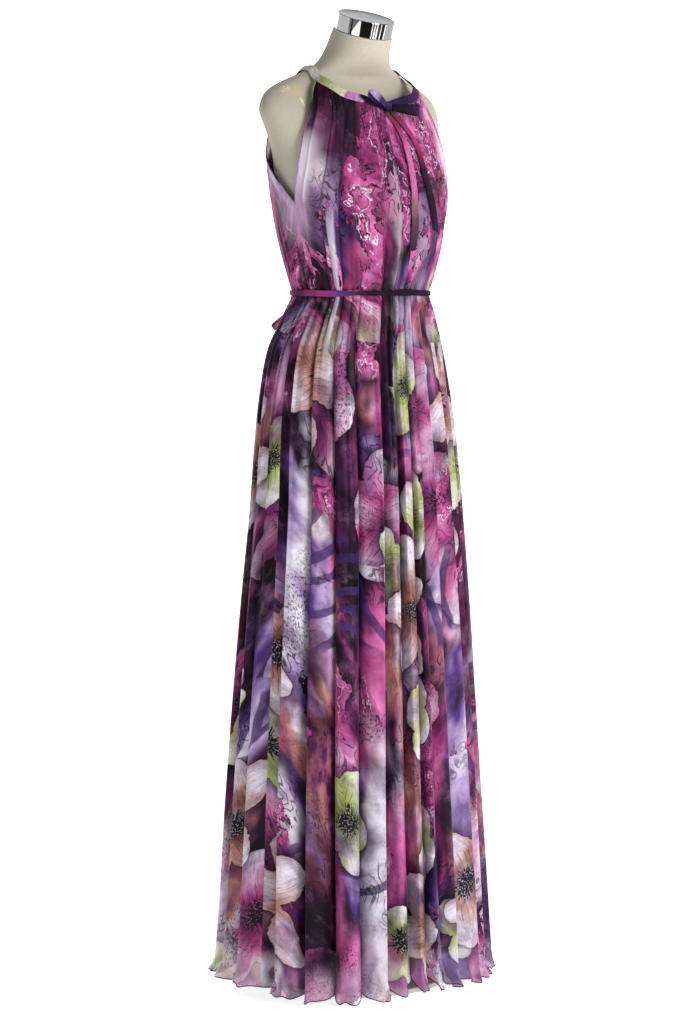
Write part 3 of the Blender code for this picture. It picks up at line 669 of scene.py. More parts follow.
def ribbon(
    name, middles, acrosses, widths, thick, finish, closed=False, sides=12, groove=0.0, flat=0.45
):
    """A folded strip of cloth with rounded edges, small creases and a groove that wanders along it. flat is
    0.45 for a flat strip and nearer 1 for a rounder one. Returns the strip and its length."""
    run = directions(middles, closed)
    acrosses = square_to(run, acrosses)
    out = np.cross(run, acrosses)
    turn = ring_angles(sides)
    side = np.sign(np.cos(turn)) * np.abs(np.cos(turn)) ** 0.75
    face = np.sign(np.sin(turn)) * np.abs(np.sin(turn)) ** flat
    along = np.concatenate([[0], np.cumsum(np.linalg.norm(np.diff(middles, axis=0), axis=1))])
    far = along[:, None]
    crease = 0.12 * thick * np.sin(far * 210 + 5 * side) * np.sin(far * 67 + 3 * side)
    dip = 1 - groove * np.exp(-(((side - 0.45 * np.sin(far * 31 + 1)) / 0.25) ** 2))
    points = (
        middles[:, None]
        + acrosses[:, None] * (side * np.asarray(widths)[:, None] / 2)[..., None]
        + out[:, None] * (face * thick / 2 * dip + crease)[..., None]
    )
    made = mesh_from(name, points, strip_faces(len(middles), sides, closed), [finish])
    half = float(np.mean(widths)) / 2
    corners = [v for polygon in made.data.polygons for v in polygon.vertices]
    add_uv(made.data, [(side[v % sides] * half, -along[v // sides]) for v in corners])
    add_values(made.data, "along", np.repeat(along / along[-1], sides))
    return link(made), float(along[-1])


def build_neckband():
    """The band round the neck, which leans in with the panels' top edge. Returns its middle in front."""
    angle = ring_angles(BAND_STEPS)
    height, lean = neckline(angle)
    lowers = on_envelope(angle, height + OFF_CLOTH + BAND_THICK / 2 * np.sin(lean), -BAND_THICK / 2)
    acrosses = square_to(directions(lowers, True), up_the_band(angle, lean))
    middles = lowers + acrosses * BAND_WIDTH / 2
    band, length = ribbon(
        "neckband_cloth", middles, acrosses, [BAND_WIDTH] * BAND_STEPS, BAND_THICK, BAND,
        closed=True, sides=16,
    )
    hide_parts("neckband")
    return Vector(middles[0])


def build_binding(name, node, front, back, column):
    """The narrow strip sewn round an armhole, down the front panel's edge and up the back's."""
    inward = 1 if column == 0 else -1
    down, up = front[:YOKE_ROWS], back[YOKE_ROWS - 2 :: -1]
    edge = np.concatenate([down[:, column], up[:, -1 - column]])
    beside = np.concatenate([down[:, column + inward], up[:, -1 - column - inward]])
    away = square_to(directions(edge), edge - beside)
    from_underarm = np.arange(len(edge)) - (YOKE_ROWS - 1)
    upright = np.exp(-((from_underarm / BINDING_TURN) ** 2))[:, None]
    away = unit(away * (1 - upright) + UPWARD * upright)
    middles = edge + away * BINDING_OUT
    widths = [BINDING_WIDTH] * len(edge)
    strip, _ = ribbon(name, middles, away, widths, BINDING_THICK, EDGE, sides=10)
    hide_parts(node)
    return strip


def build_belt():
    """The narrow tie round the waist, a little uneven."""
    angle = ring_angles(BELT_STEPS) - math.pi
    middles = on_envelope(angle, 0.0, BELT_THICK / 2 + OFF_CLOTH)
    middles[:, 2] += 0.0008 * np.sin(3 * angle + 1) + 0.0004 * np.sin(7 * angle)
    acrosses = np.tile(UPWARD, (BELT_STEPS, 1))
    heights = BELT_HEIGHT * (1 + 0.16 * np.sin(4 * angle + 0.5) + 0.08 * np.sin(11 * angle))
    belt, length = ribbon(
        "belt_cloth", middles, acrosses, heights, BELT_THICK, BELT,
        closed=True, sides=20, groove=0.55,
    )
    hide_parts("belt")


def build_knot(node, centre, half):
    """A knot: a strip wrapped round itself, with a rounded, creased face."""
    shape = bmesh.new()
    bmesh.ops.create_uvsphere(shape, u_segments=48, v_segments=32, radius=1.0)
    for vert in shape.verts:
        x, y, z = vert.co
        squared = (abs(x) ** 3 + abs(y) ** 3 + abs(z) ** 3) ** (1 / 3)
        groove = 1 - 0.10 * math.exp(-((x - 0.35 * z) * 5) ** 2) - 0.05 * math.sin(9 * x + 4 * z)
        vert.co = Vector((x * half.x, y * half.y * groove, z * half.z)) * (0.93 / squared) + centre
    points = [tuple(vert.co) for vert in shape.verts]
    faces = [[vert.index for vert in polygon.verts] for polygon in shape.faces]
    shape.free()
    knot = mesh_from(node + "_cloth", points, faces, [KNOT])
    corners = [points[v] for polygon in knot.data.polygons for v in polygon.vertices]
    add_uv(knot.data, [(x * KNOT_PRINT, z * KNOT_PRINT) for x, _, z in corners])
    add_values(knot.data, "along", [(z - centre.z) / half.z / 2 + 0.5 for _, _, z in points])
    link(knot)
    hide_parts(node)
    return knot


def build_tail(node, path, width, thick, slant, finish, rests_on):
    """A tie's free end down the dress, cut on a slant."""
    height = np.linspace(path[0].height, path[-1].height, TAIL_STEPS)
    degrees, share = smooth(sorted(path), height)
    angle = np.radians(degrees)
    middles = on_envelope(angle, height, TAIL_OUT + thick / 2)
    acrosses = on_envelope(angle + 0.05, height) - on_envelope(angle - 0.05, height)
    widths = width * share
    tail, length = ribbon(
        node + "_cloth", middles, acrosses, widths, thick, finish, groove=0.4, flat=0.75
    )
    cut = np.array([v.co for v in tail.data.vertices]).reshape(TAIL_STEPS, -1, 3)
    toward_end = np.clip((np.arange(TAIL_STEPS) - TAIL_STEPS + 1) / SLANT_STEPS + 1, 0, 1)[:, None]
    off = ((cut - middles[:, None]) * unit(acrosses)[:, None]).sum(2)
    cut[..., 2] += slant * off * toward_end
    tail.data.vertices.foreach_set("co", cut.ravel())
    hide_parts(node)


def build_loop(node, loop, root, knot_half, outward, finish):
    """A bow's loop: the tie runs out from its knot, round the tip and back."""
    reach = loop.tip.normalized()
    apart = (outward - outward.dot(reach) * reach).normalized()
    start = root + reach * (knot_half.x * 0.9)
    turn = np.linspace(0, math.pi, LOOP_STEPS)
    out = np.sin(turn)
    swell = loop.spread * np.sin(2 * turn) + TIE_THICK * np.cos(turn)
    away = loop.tip.length * out
    middles = np.array(start) + away[:, None] * np.array(reach) - swell[:, None] * np.array(apart)
    acrosses = np.array(reach.cross(apart)) + 0.12 * np.sin(2 * turn)[:, None] * np.array(apart)
    widths = loop.width * (LOOP_ROOT + (1 - LOOP_ROOT) * out) * (1 - loop.point * out**5)
    made, length = ribbon(
        node + "_cloth", middles, acrosses, widths, LOOP_THICK, finish, groove=0.3
    )
    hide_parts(node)


def build_bow(where, centre, half, outward, loops, tails, under):
    """A knot on a band, with its loops and its tails, which lie over the dress. The piece under them is not used.
    """
    knot = build_knot(where + "_knot", centre, half)
    for side, loop, finish in loops:
        build_loop(f"{where}_loop_{side}", loop, centre, half, outward, finish)
    for side, *tail in tails:
        build_tail(f"{where}_tail_{side}", *tail, [knot.name, under])


def build_form():
    """The dress form's covered torso and neck."""
    height = np.linspace(FORM[0].height, FORM[-1].height, FORM_RINGS)[:, None]
    angle = ring_angles(FORM_SIDES)
    radius, centre_y = oval(FORM, height, angle)
    rise = np.clip((height - NECK_BEND_FROM) / (FORM[-1].height - NECK_BEND_FROM), 0, 1)
    tip = np.radians(NECK_LEAN) * rise
    back = -radius * np.cos(angle)
    y, z = centre_y + back * np.cos(tip), WAIST_HEIGHT + height + back * np.sin(tip)
    points = np.stack([radius * np.sin(angle), y, z], -1)
    torso = link(mesh_from("form_torso", points, turned_faces(*radius.shape), [form_cover()]))
    torso.data.set_sharp_from_angle(angle=math.radians(50))
    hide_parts("dress_form")


def arc(steps):
    """Points along a quarter circle of radius 1: 1 less the cosine, and the sine, of even turns."""
    return [(1 - math.cos(turn), math.sin(turn)) for turn in np.linspace(0, math.pi / 2, steps + 1)]


def build_cap():
    """The chrome cap on the neck, a shallow turned disc with a rounded rim and a dished top."""
    wall_top = CAP_THICK - CAP_RIM
    profile = [(CAP_RADIUS - 0.0012, 0.0), (CAP_RADIUS, 0.0008)]
    profile += [(CAP_RADIUS - CAP_RIM * inward, wall_top + CAP_RIM * up) for inward, up in arc(5)]
    profile += [(CAP_RADIUS - 0.0035, CAP_THICK - 0.0001), (CAP_RADIUS - 0.0045, CAP_THICK - CAP_DISH)]
    profile += [(0.02, CAP_THICK - CAP_DISH), (0.001, CAP_THICK - CAP_DISH)]
    angle = ring_angles(CAP_SIDES)
    ring = np.array([[(r * math.cos(a), r * math.sin(a), z) for a in angle] for r, z in profile])
    finishes = [
        metal("cap_polished", (0.80, 0.81, 0.83), 0.03, 0.03),
        metal("cap_satin", (0.50, 0.52, 0.56), 0.32, 0.1),
    ]
    cap = mesh_from("cap_turned", ring, turned_faces(len(profile), CAP_SIDES), finishes)
    for polygon in cap.data.polygons:
        polygon.material_index = int(polygon.center.z > CAP_THICK - 1.5 * CAP_DISH)
    top = FORM[-1]
    seat = Matrix.Translation((0, top.centre_y, WAIST_HEIGHT + top.height))
    lean = Matrix.Rotation(math.radians(NECK_LEAN), 4, "X")
    cap.data.transform(seat @ lean @ Matrix.Translation((0, 0, CAP_UP)))
    cap.data.set_sharp_from_angle(angle=math.radians(40))
    link(cap)
    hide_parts("neck_cap")


class Value:
    """An output of a finish's node. Its sums, differences, products and quotients are nodes too."""

    def __init__(self, finish, socket):
        self.finish, self.socket = finish, socket

    def __add__(self, other):
        return self.finish.reckon("ADD", self, other)

    def __sub__(self, other):
        return self.finish.reckon("SUBTRACT", self, other)

    def __rsub__(self, other):
        return self.finish.reckon("SUBTRACT", other, self)

    def __mul__(self, other):
        return self.finish.reckon("MULTIPLY", self, other)

    def __truediv__(self, other):
        return self.finish.reckon("DIVIDE", self, other)


class Finish:
    """A material, with short calls for its nodes, which take numbers, tuples and Values."""

    def __init__(self, name, **settings):
        self.material = bpy.data.materials.new(name)
        self.material.use_nodes = True
        self.tree = self.material.node_tree
        self.shader = self.tree.nodes["Principled BSDF"]
        self.set(**settings)

    def set(self, **settings):
        """Sets sockets of the shader, by their names with underscores."""
        for name, value in settings.items():
            self.put(self.shader.inputs[name.replace("_", " ")], value)

    def put(self, socket, value):
        if isinstance(value, Value):
            self.tree.links.new(value.socket, socket)
        elif isinstance(value, tuple) and socket.type == "RGBA":
            socket.default_value = (*value, 1)
        else:
            socket.default_value = value

    def node(self, kind, inputs=(), **settings):
        """A new node, with its inputs given by name or number."""
        made = self.tree.nodes.new(kind)
        for name, value in settings.items():
            setattr(made, name, value)
        for socket, value in dict(inputs).items():
            self.put(made.inputs[socket], value)
        return made

    def value(self, kind, inputs=(), output=0, **settings):
        """One output of a new node."""
        return Value(self, self.node(kind, inputs, **settings).outputs[output])

    def math(self, operation, a, b=0.0, clamp=False):
        return self.value("ShaderNodeMath", {0: a, 1: b}, operation=operation, use_clamp=clamp)

    def vector(self, operation, a, b=(0, 0, 0)):
        output = "Value" if operation in ("LENGTH", "DOT_PRODUCT", "DISTANCE") else "Vector"
        return self.value("ShaderNodeVectorMath", {0: a, 1: b}, output, operation=operation)

    def reckon(self, operation, a, b):
        """A calculation with numbers, or with vectors if either side is one."""
        vectors = [isinstance(v, tuple) or isinstance(v, Value) and v.socket.type != "VALUE" for v in (a, b)]
        return self.vector(operation, a, b) if any(vectors) else self.math(operation, a, b)

    def combine(self, x, y, z):
        return self.value("ShaderNodeCombineXYZ", {0: x, 1: y, 2: z})

    def split(self, vector):
        return [Value(self, part) for part in self.node("ShaderNodeSeparateXYZ", {0: vector}).outputs]

    def mix(self, factor, a, b, blend="MIX"):
        return self.value("ShaderNodeMix", {0: factor, 6: a, 7: b}, 2, data_type="RGBA", blend_type=blend)

    def noise(self, vector, scale, detail=2.0, rough=0.5, output="Fac"):
        inputs = {"Vector": vector, "Scale": scale, "Detail": detail, "Roughness": rough}
        return self.value("ShaderNodeTexNoise", inputs, output)

    def cells(self, vector, scale, randomness=1.0):
        """Voronoi cells: their outputs by name."""
        inputs = {"Vector": vector, "Scale": scale, "Randomness": randomness}
        made = self.node("ShaderNodeTexVoronoi", inputs, voronoi_dimensions="2D")
        return {output.name: Value(self, output) for output in made.outputs}

    def step(self, value, low, high):
        """0 up to low and 1 from high on, with a smooth rise between them. High may be under low."""
        if high < low:
            return 1.0 - self.step(value, high, low)
        return self.value("ShaderNodeMapRange", {0: value, 1: low, 2: high}, interpolation_type="SMOOTHSTEP")

    def ramp(self, factor, *stops):
        """Colours at places along a factor."""
        made = self.node("ShaderNodeValToRGB", {0: factor})
        ramp = made.color_ramp
        while len(ramp.elements) < len(stops):
            ramp.elements.new(0.5)
        for element, (place, colour) in zip(ramp.elements, stops):
            element.position = place
            element.color = (*colour, 1)
        return Value(self, made.outputs[0])

    def bump(self, height, strength, distance):
        inputs = {"Height": height, "Strength": strength, "Distance": distance}
        self.set(Normal=self.value("ShaderNodeBump", inputs))

    def attribute(self, name):
        return self.value("ShaderNodeAttribute", output="Fac", attribute_name=name)

    def place(self):
        """The point's place in its object, in metres."""
        return self.value("ShaderNodeTexCoord", output="Object")

    def flat_place(self):
        """The point's place on the flat cloth, in metres."""
        return self.value("ShaderNodeUVMap", uv_map=CLOTH_MAP)


# Colours of the print, in linear light
INK = (0.010, 0.005, 0.012)
NIGHT = (0.024, 0.010, 0.036)
PLUM = (0.085, 0.013, 0.070)
CRIMSON = (0.17, 0.022, 0.055)
MAGENTA = (0.36, 0.042, 0.185)
PINK = (0.58, 0.14, 0.35)
BLUSH = (0.68, 0.40, 0.56)
DEEP = (0.045, 0.018, 0.095)
VIOLET = (0.085, 0.032, 0.19)
LILAC = (0.40, 0.29, 0.52)
PALE = (0.72, 0.67, 0.76)
PEACH = (0.46, 0.22, 0.165)
BROWN = (0.13, 0.045, 0.030)
ROSE = (0.27, 0.12, 0.16)
CORAL = (0.34, 0.10, 0.145)
MOSS = (0.17, 0.20, 0.05)
LIME = (0.34, 0.40, 0.12)
CREAM = (0.60, 0.62, 0.38)

# Layers of blossoms: cells in a metre, petal length and half width, colours from the centre to the tip, the share
# of the cells that are left out, and how far the layer is shifted on the cloth
PETALS = 5
Blossom = namedtuple("Blossom", "cells length half_width inner middle tip missing shift")
BLOSSOMS = (
    Blossom(3.0, 0.130, 0.056, PLUM, MAGENTA, PINK, 0.50, (0.37, 0.91)),
    Blossom(3.5, 0.088, 0.040, MOSS, LIME, CREAM, 0.40, (1.70, 0.30)),
    Blossom(2.8, 0.140, 0.040, BROWN, PEACH, PALE, 0.36, (0.10, 2.20)),
)
# The bodice's print starts between these two distances under the top of the neckband
BODICE_FROM, BODICE_TO = -0.50, -0.38
# Fading print: an attribute, the most that it hides of the print, and the streaky colours that it shows
Faded = namedtuple("Faded", "attribute share dark light")
FADED = (
    Faded("bare", 0.8, (0.48, 0.31, 0.48), (0.69, 0.58, 0.72)),
    Faded("plain", 0.9, (0.46, 0.40, 0.52), (0.68, 0.67, 0.70)),
)
# How much shows through the cloth where it has no lining
SEE_THROUGH = 0.15


def add_blossoms(f, place, under, blossom, keep):
    """Blossoms over a colour: in each cell petals round a centre, turned at random, with veins and inked
    edges. keep is 0 where there are none, and 1 elsewhere."""
    shifted = place + (*blossom.shift, 0)
    cell = f.cells(shifted, blossom.cells, 0.75)
    random = f.split(cell["Color"])
    shown = f.step(random[2], blossom.missing, blossom.missing + 0.01) * keep
    local = shifted - cell["Position"]
    x, y, _ = f.split(local)
    from_centre = f.vector("LENGTH", local)
    around = f.math("ARCTAN2", y, x)
    part = (around + random[0] * 6.28) * (PETALS / math.tau)
    off_axis = (f.math("FRACT", part) - 0.5) * (math.tau / PETALS)
    along = from_centre * f.math("COSINE", off_axis)
    across = from_centre * f.math("SINE", off_axis)
    which = f.combine(f.math("FLOOR", part), random[1], random[2])
    petal = f.value("ShaderNodeTexWhiteNoise", {0: which}, noise_dimensions="3D")
    length = (petal * 0.45 + 0.72) * blossom.length

    # The petal's outline, with a dark halo outside it and an inked rim
    t = f.math("DIVIDE", along, length, clamp=True)
    belly = f.math("POWER", t, 0.85)
    half = f.math("POWER", belly * (1.0 - belly) * 4.0, 0.55) * blossom.half_width
    ragged = (f.noise(place, 38, 5.0, 0.6) - 0.5) * 0.020
    inside = f.math("MINIMUM", half - f.math("ABSOLUTE", across) + ragged, length - along)
    mask = f.step(inside, 0.0, 0.0030) * shown
    halo = f.step(inside, -0.035, 0.0) * shown
    rim = f.step(inside, -0.0012, 0.0004) * f.step(inside, 0.0024, 0.0008)

    # Its colours, light middle, hatching and veins
    reach = t + (f.noise(place, 20, 5.0, 0.65) - 0.5) * 1.1
    petals = f.ramp(reach, (0.05, blossom.inner), (0.36, blossom.middle), (0.66, blossom.tip), (0.90, PALE))
    side = across / (half + 0.001)
    off_middle = f.math("ABSOLUTE", side)
    petals = f.mix(f.step(off_middle, 0.45, 1.0) * 0.65, petals, blossom.middle)
    petals = f.mix(f.step(off_middle, 0.6, 0.1) * f.step(t, 0.25, 0.7) * 0.5, petals, PALE)
    lines = f.math("FRACT", side * 4.5 + f.noise(place, 30, 2.0) * 1.2)
    petals = f.mix(f.step(lines, 0.20, 0.06) * f.step(reach, 0.75, 0.25) * 0.7, petals, INK)
    veins = f.noise(f.combine(side * 9.0, t * 1.5, petal), 2.4, 4.0, 0.65)
    petals = f.mix(f.step(veins, 0.50, 0.66) * 0.5, petals, blossom.inner)
    petals = f.mix(f.step(f.noise(place, 10, 4.0), 0.44, 0.74), petals, under)

    # The spiky heart with its light dots
    spikes = f.noise(f.combine(around * 6.0, from_centre * 30, petal), 1.6, 2.0)
    heart = f.step((spikes - 0.12) * 0.060 - from_centre, 0.0, 0.003) * shown
    dots = f.step(f.noise(place, 330, 1.0), 0.56, 0.66)

    colour = f.mix(halo * 0.85, under, (0.22, 0.14, 0.28), "MULTIPLY")
    colour = f.mix(mask, colour, petals)
    colour = f.mix(rim * shown * 0.8, colour, INK)
    return f.mix(heart, colour, f.mix(dots * 0.55, INK, blossom.tip))


def washes(f, place, bodice):
    """Warm, cool and earthy watercolour washes that bleed into each other, in wide light and dark areas."""
    tall = place * (1.0, 0.42, 1.0)
    warm = f.ramp(
        f.noise(tall, 6.5, 4.0, 0.55),
        (0.33, INK), (0.42, NIGHT), (0.46, PLUM), (0.50, MAGENTA), (0.57, PINK), (0.63, BLUSH), (0.70, PALE),
    )
    cool = f.ramp(
        f.noise(tall + (3, 1, 0), 7.0, 4.0, 0.5),
        (0.38, INK), (0.45, NIGHT), (0.49, VIOLET), (0.56, LILAC), (0.62, PALE),
    )
    earthy = f.ramp(
        f.noise(tall + (6, 6, 0), 9.0, 5.0, 0.6),
        (0.40, INK), (0.45, PLUM), (0.50, CORAL), (0.56, PEACH), (0.62, PALE), (0.72, CREAM),
    )
    choice = f.noise(tall + (7, 5, 0), 4.0, 3.0) - bodice * 0.10
    colour = f.mix(f.step(choice, 0.49, 0.54), warm, cool)
    colour = f.mix(f.step(f.noise(tall + (1, 9, 0), 5.2, 4.0), 0.53, 0.59), colour, earthy)
    low = f.step(f.split(place)[1], -0.85, -1.25)
    wide = f.noise(tall + (8, 2, 0), 3.4, 4.0, 0.6) + (bodice - low) * 0.03
    colour = f.mix(f.step(wide, 0.50, 0.59), colour, (0.20, 0.11, 0.22), "MULTIPLY")
    colour = f.mix(f.step(wide, 0.43, 0.35) * 0.85, colour, PALE)
    watery = f.step(f.noise(place * (1.0, 0.6, 1.0), 26, 6.0, 0.7), 0.50, 0.66)
    colour = f.mix(watery * 0.5, colour, (0.20, 0.09, 0.17), "SCREEN")
    return f.mix(bodice * 0.8, colour, (0.55, 0.44, 0.46), "MULTIPLY")


def inked_patches(f, place, under, bodice):
    """Magenta blots with dark outlines, pale squiggles and marbled lines inside, more of them on the bodice."""
    tall = place * (1.0, 0.55, 1.0)
    blot = f.noise(tall, 7.0, 6.0, 0.6)
    where = f.step(f.noise(place + (2, 8, 0), 3.4, 1.0) + bodice * 0.08, 0.53, 0.57)
    fill = f.ramp(
        f.noise(tall, 15, 6.0, 0.65),
        (0.36, NIGHT), (0.43, PLUM), (0.49, MAGENTA), (0.57, PINK), (0.66, BLUSH),
    )
    colour = f.mix(f.step(blot, 0.500, 0.506) * where, under, fill)
    for level, width, line in (
        (0.503, 0.0050, INK), (0.545, 0.0035, PALE), (0.556, 0.0030, INK), (0.60, 0.004, INK),
    ):
        near = f.step(f.math("ABSOLUTE", blot - level), width, width * 0.4)
        colour = f.mix(near * where, colour, line)
    swirl = f.math("FRACT", f.noise(tall, 16, 3.0, 0.5) * 16.0)
    zone = f.step(f.noise(place + (6, 3, 0), 7.0, 3.0), 0.54, 0.60)
    lines = f.step(f.math("ABSOLUTE", swirl - 0.5), 0.16, 0.07)
    return f.mix(lines * zone * 0.75, colour, INK)


def floral(f, flat):
    """A generic watercolour floral on the flat cloth. It fades to streaky lilac where the cloth is bare, and
    painted shade darkens it along the pleats.
    """
    place = flat + (f.noise(flat, 6.0, 3.0, output="Color") - (0.5, 0.5, 0.5)) * (0.06, 0.06, 0.0)
    bodice = f.step(f.split(flat)[1], BODICE_FROM, BODICE_TO)
    skirt = 1.0 - bodice
    colour = washes(f, place, bodice)
    colour = add_blossoms(f, place, colour, BLOSSOMS[0], skirt)

    ring = f.math("PINGPONG", f.cells(place + (5, 2, 0), 2.6)["Distance"], 0.11)
    band = f.step(f.math("ABSOLUTE", ring - 0.04), 0.020, 0.016)
    some = f.step(f.noise(place + (9, 4, 0), 4.0, 0.0), 0.58, 0.62)
    colour = f.mix(band * some * skirt * 0.8, colour, (0.050, 0.022, 0.115))
    colour = inked_patches(f, place, colour, bodice)

    specks = f.step(f.noise(place * (1.0, 0.7, 1.0), 300, 3.0, 0.6), 0.52, 0.60)
    dusty = f.step(f.noise(place + (4, 4, 0), 5.0, 3.0), 0.52, 0.62)
    colour = f.mix(specks * dusty * 0.8, colour, INK)

    for blossom in BLOSSOMS[1:]:
        colour = add_blossoms(f, place, colour, blossom, skirt)
    mottle = f.ramp(f.noise(place, 24, 5.0, 0.7), (0.36, (0.42, 0.34, 0.45)), (0.58, (1.0, 1.0, 1.0)))
    colour = f.mix(0.8, colour, mottle, "MULTIPLY")
    streaks = f.step(f.noise(flat * (60.0, 4.0, 1.0), 1.0, 2.0), 0.45, 0.65)
    for faded in FADED:
        streaky = f.mix(streaks, faded.dark, faded.light)
        colour = f.mix(f.attribute(faded.attribute) * faded.share, colour, streaky)
    # Painted shade: the colour is darkened along the pleat lines, where shade falls in the gathers
    return f.mix(pleats(f, flat) * 0.75, colour, (0.10, 0.05, 0.10), "MULTIPLY")


def pleats(f, flat):
    """Lines in the pleats that run down from the neckband and the belt: 1 in a pleat and 0 off it. They bump the
    cloth, and the floral is darkened along them as painted shade.
    """
    lines = f.noise(flat * (150.0, 5.0, 1.0), 1.0, 2.0, 0.6)
    return f.step(lines, 0.50, 0.36) * f.step(f.attribute("pleated"), 0.15, 0.9)


def chiffon(name, see_through):
    """Printed crepe chiffon. Where it has no lining it lets some light and sight through, and its colour is
    painted paler there, as painted light shining through it.
    """
    f = Finish(name, Roughness=0.5, Specular_IOR_Level=0.12, Sheen_Weight=0.03, Sheen_Roughness=0.4)
    flat = f.flat_place()
    colour = floral(f, flat)
    if see_through:
        sheer = f.attribute("sheer")
        f.set(Alpha=1.0 - sheer * SEE_THROUGH)
        # Painted light: where the cloth is sheer its colour is paled, standing in for bright light shining
        # through it
        colour = f.mix(sheer, colour, f.value("ShaderNodeGamma", {0: colour, 1: 0.54}))
    f.set(Base_Color=colour)
    f.bump(f.noise(flat, 900.0, 2.0, 0.6) * 0.14 - pleats(f, flat), 0.85, 0.0006)
    return f.material


def tie_cloth(name, *stops):
    """Printed chiffon folded double: one colour runs into the next along the strip. It is darkened in random
    mottles, and along its creases with painted shade.
    """
    f = Finish(name, Roughness=0.6, Specular_IOR_Level=0.06)
    flat = f.flat_place()
    colour = f.ramp(f.attribute("along") + (f.noise(flat, 70, 3.0) - 0.5) * 0.06, *stops)
    creases = f.noise(flat * (1.0, 0.12, 1.0), 420, 3.0, 0.6)
    mottle = f.step(f.noise(flat, 110, 4.0, 0.7), 0.45, 0.70)
    # Random mottles darken the colour, and so does painted shade along the creases
    dark = f.math("MAXIMUM", mottle, f.step(creases, 0.50, 0.64))
    f.set(Base_Color=f.mix(dark * 0.45, colour, NIGHT))
    f.bump(creases, 0.5, 0.0012)
    return f.material


def form_cover():
    """The form's plain cotton jersey, with old glue and a loose thread on its right shoulder."""
    f = Finish("form_jersey", Roughness=0.85, Specular_IOR_Level=0.25)
    f.set(Sheen_Weight=0.12, Sheen_Roughness=0.5)
    place = f.place()
    colour = f.mix(f.noise(place, 9, 5.0, 0.6), (0.475, 0.430, 0.343), (0.537, 0.496, 0.412))
    weave = f.noise(place * (1.0, 1.0, 0.35), 700, 2.0)
    colour = f.mix(f.step(weave, 0.62, 0.40) * 0.5, colour, (0.43, 0.39, 0.31))

    rough = f.noise(place, 120, 4.0, 0.65)
    glue = f.step(f.vector("DISTANCE", place, GLUE) + rough * 0.016, 0.026, 0.014)
    colour = f.mix(glue * 0.75, colour, (0.60, 0.49, 0.26))
    flaky = f.step(f.vector("DISTANCE", place, GLUE_FLAKES) + rough * 0.012, 0.016, 0.013)
    flakes = flaky * f.step(f.noise(place, 420, 2.0), 0.47, 0.53)
    colour = f.mix(flakes, colour, (0.80, 0.70, 0.42))

    along = Vector(THREAD_END) - Vector(THREAD_START)
    from_start = place - THREAD_START
    reached = f.vector("DOT_PRODUCT", from_start, tuple(along))
    t = f.math("DIVIDE", reached, along.length_squared, clamp=True)
    off = f.vector("LENGTH", from_start - t * tuple(along)) + f.noise(place, 90, 2.0) * 0.006
    thread = f.step(off, 0.0046, 0.0036)
    f.set(Base_Color=f.mix(thread, colour, (0.82, 0.72, 0.44)))
    f.bump(weave * 0.5 + f.math("MAXIMUM", flakes, thread) * 1.5, 0.3, 0.0008)
    return f.material


def metal(name, colour, roughness, worn):
    """Bare metal. Wear makes it up to that much rougher."""
    f = Finish(name, Base_Color=colour, Metallic=1.0)
    f.set(Roughness=f.noise(f.place(), 60, 4.0, 0.6) * worn + roughness)
    return f.material


def powder_coat():
    """The stand's pale, slightly grainy paint."""
    f = Finish("stand_powder_coat", Roughness=0.45)
    place = f.place()
    f.set(Base_Color=f.mix(f.noise(place, 30, 3.0), (0.60, 0.59, 0.56), (0.68, 0.67, 0.64)))
    f.bump(f.noise(place, 700, 2.0), 0.15, 0.0004)
    return f.material


def place_round(degrees, distance, height):
    """A point at an angle round the dress."""
    turn = math.radians(degrees)
    return math.sin(turn) * distance, -math.cos(turn) * distance, height


def build_curved(name, start, end, steps, profile, material):
    """A curved sheet of the studio between two angles, from a profile of distances and heights."""
    degrees = np.linspace(start, end, steps)
    grid = [[place_round(d, distance, height) for d in degrees] for distance, height in profile]
    made = mesh_from(name, grid, grid_faces(len(profile), steps), [material])
    bpy.context.scene.collection.objects.link(made)
    return made


# The pale paper: a round floor that curves up into a wall. Light falls from the part of the wall behind the
# dress, and the rest of it is for the camera alone
PAPER_RADIUS, PAPER_BEND, PAPER_RISE = 8.5, 2.5, 8.0
BACKDROP_START, BACKDROP_END = 88, 196
FLOOR_GLOW, WALL_GLOW, WORLD_GLOW = 0.75, 1.05, 0.18

Light = namedtuple("Light", "name azimuth height distance width power aim")
AT_DRESS = (0, 0, 0.95)
LIGHTS = (
    Light("key", 8, 1.9, 3.4, 1.8, 106, AT_DRESS),
    Light("side", 70, 1.8, 3.8, 1.4, 14, AT_DRESS),
    Light("fill", -105, 1.2, 3.6, 2.0, 32, AT_DRESS),
    Light("back", 165, 3.2, 3.2, 2.0, 15, AT_DRESS),
    Light("top", 150, 4.8, 1.2, 3.0, 4, (0.5, 0.7, 0)),
)

# Cards round the dress that only reflections see, by their angles round it: two light ones and dark ones
Card = namedtuple("Card", "start end colour")
CARDS = (
    Card(-168, -99, (0.78, 0.78, 0.77)),
    Card(-91, -84, (0.03, 0.03, 0.04)),
    Card(-53, -6, (0.012, 0.010, 0.010)),
    Card(-3, 4, (0.10, 0.045, 0.02)),
    Card(9, 14, (0.02, 0.015, 0.015)),
    Card(20, 33, (0.11, 0.05, 0.025)),
    Card(37, 52, (0.02, 0.015, 0.015)),
    Card(58, 136, (0.70, 0.70, 0.69)),
)
CARD_DISTANCE, CARD_LOW, CARD_HIGH = 1.3, 0.0, 2.4
# A dark flag that keeps the light of the surroundings off the wearer's right side
FLAG = Card(-172, -66, (0.16, 0.16, 0.16))
FLAG_DISTANCE, FLAG_LOW, FLAG_HIGH = 1.1, 1.0, 3.4


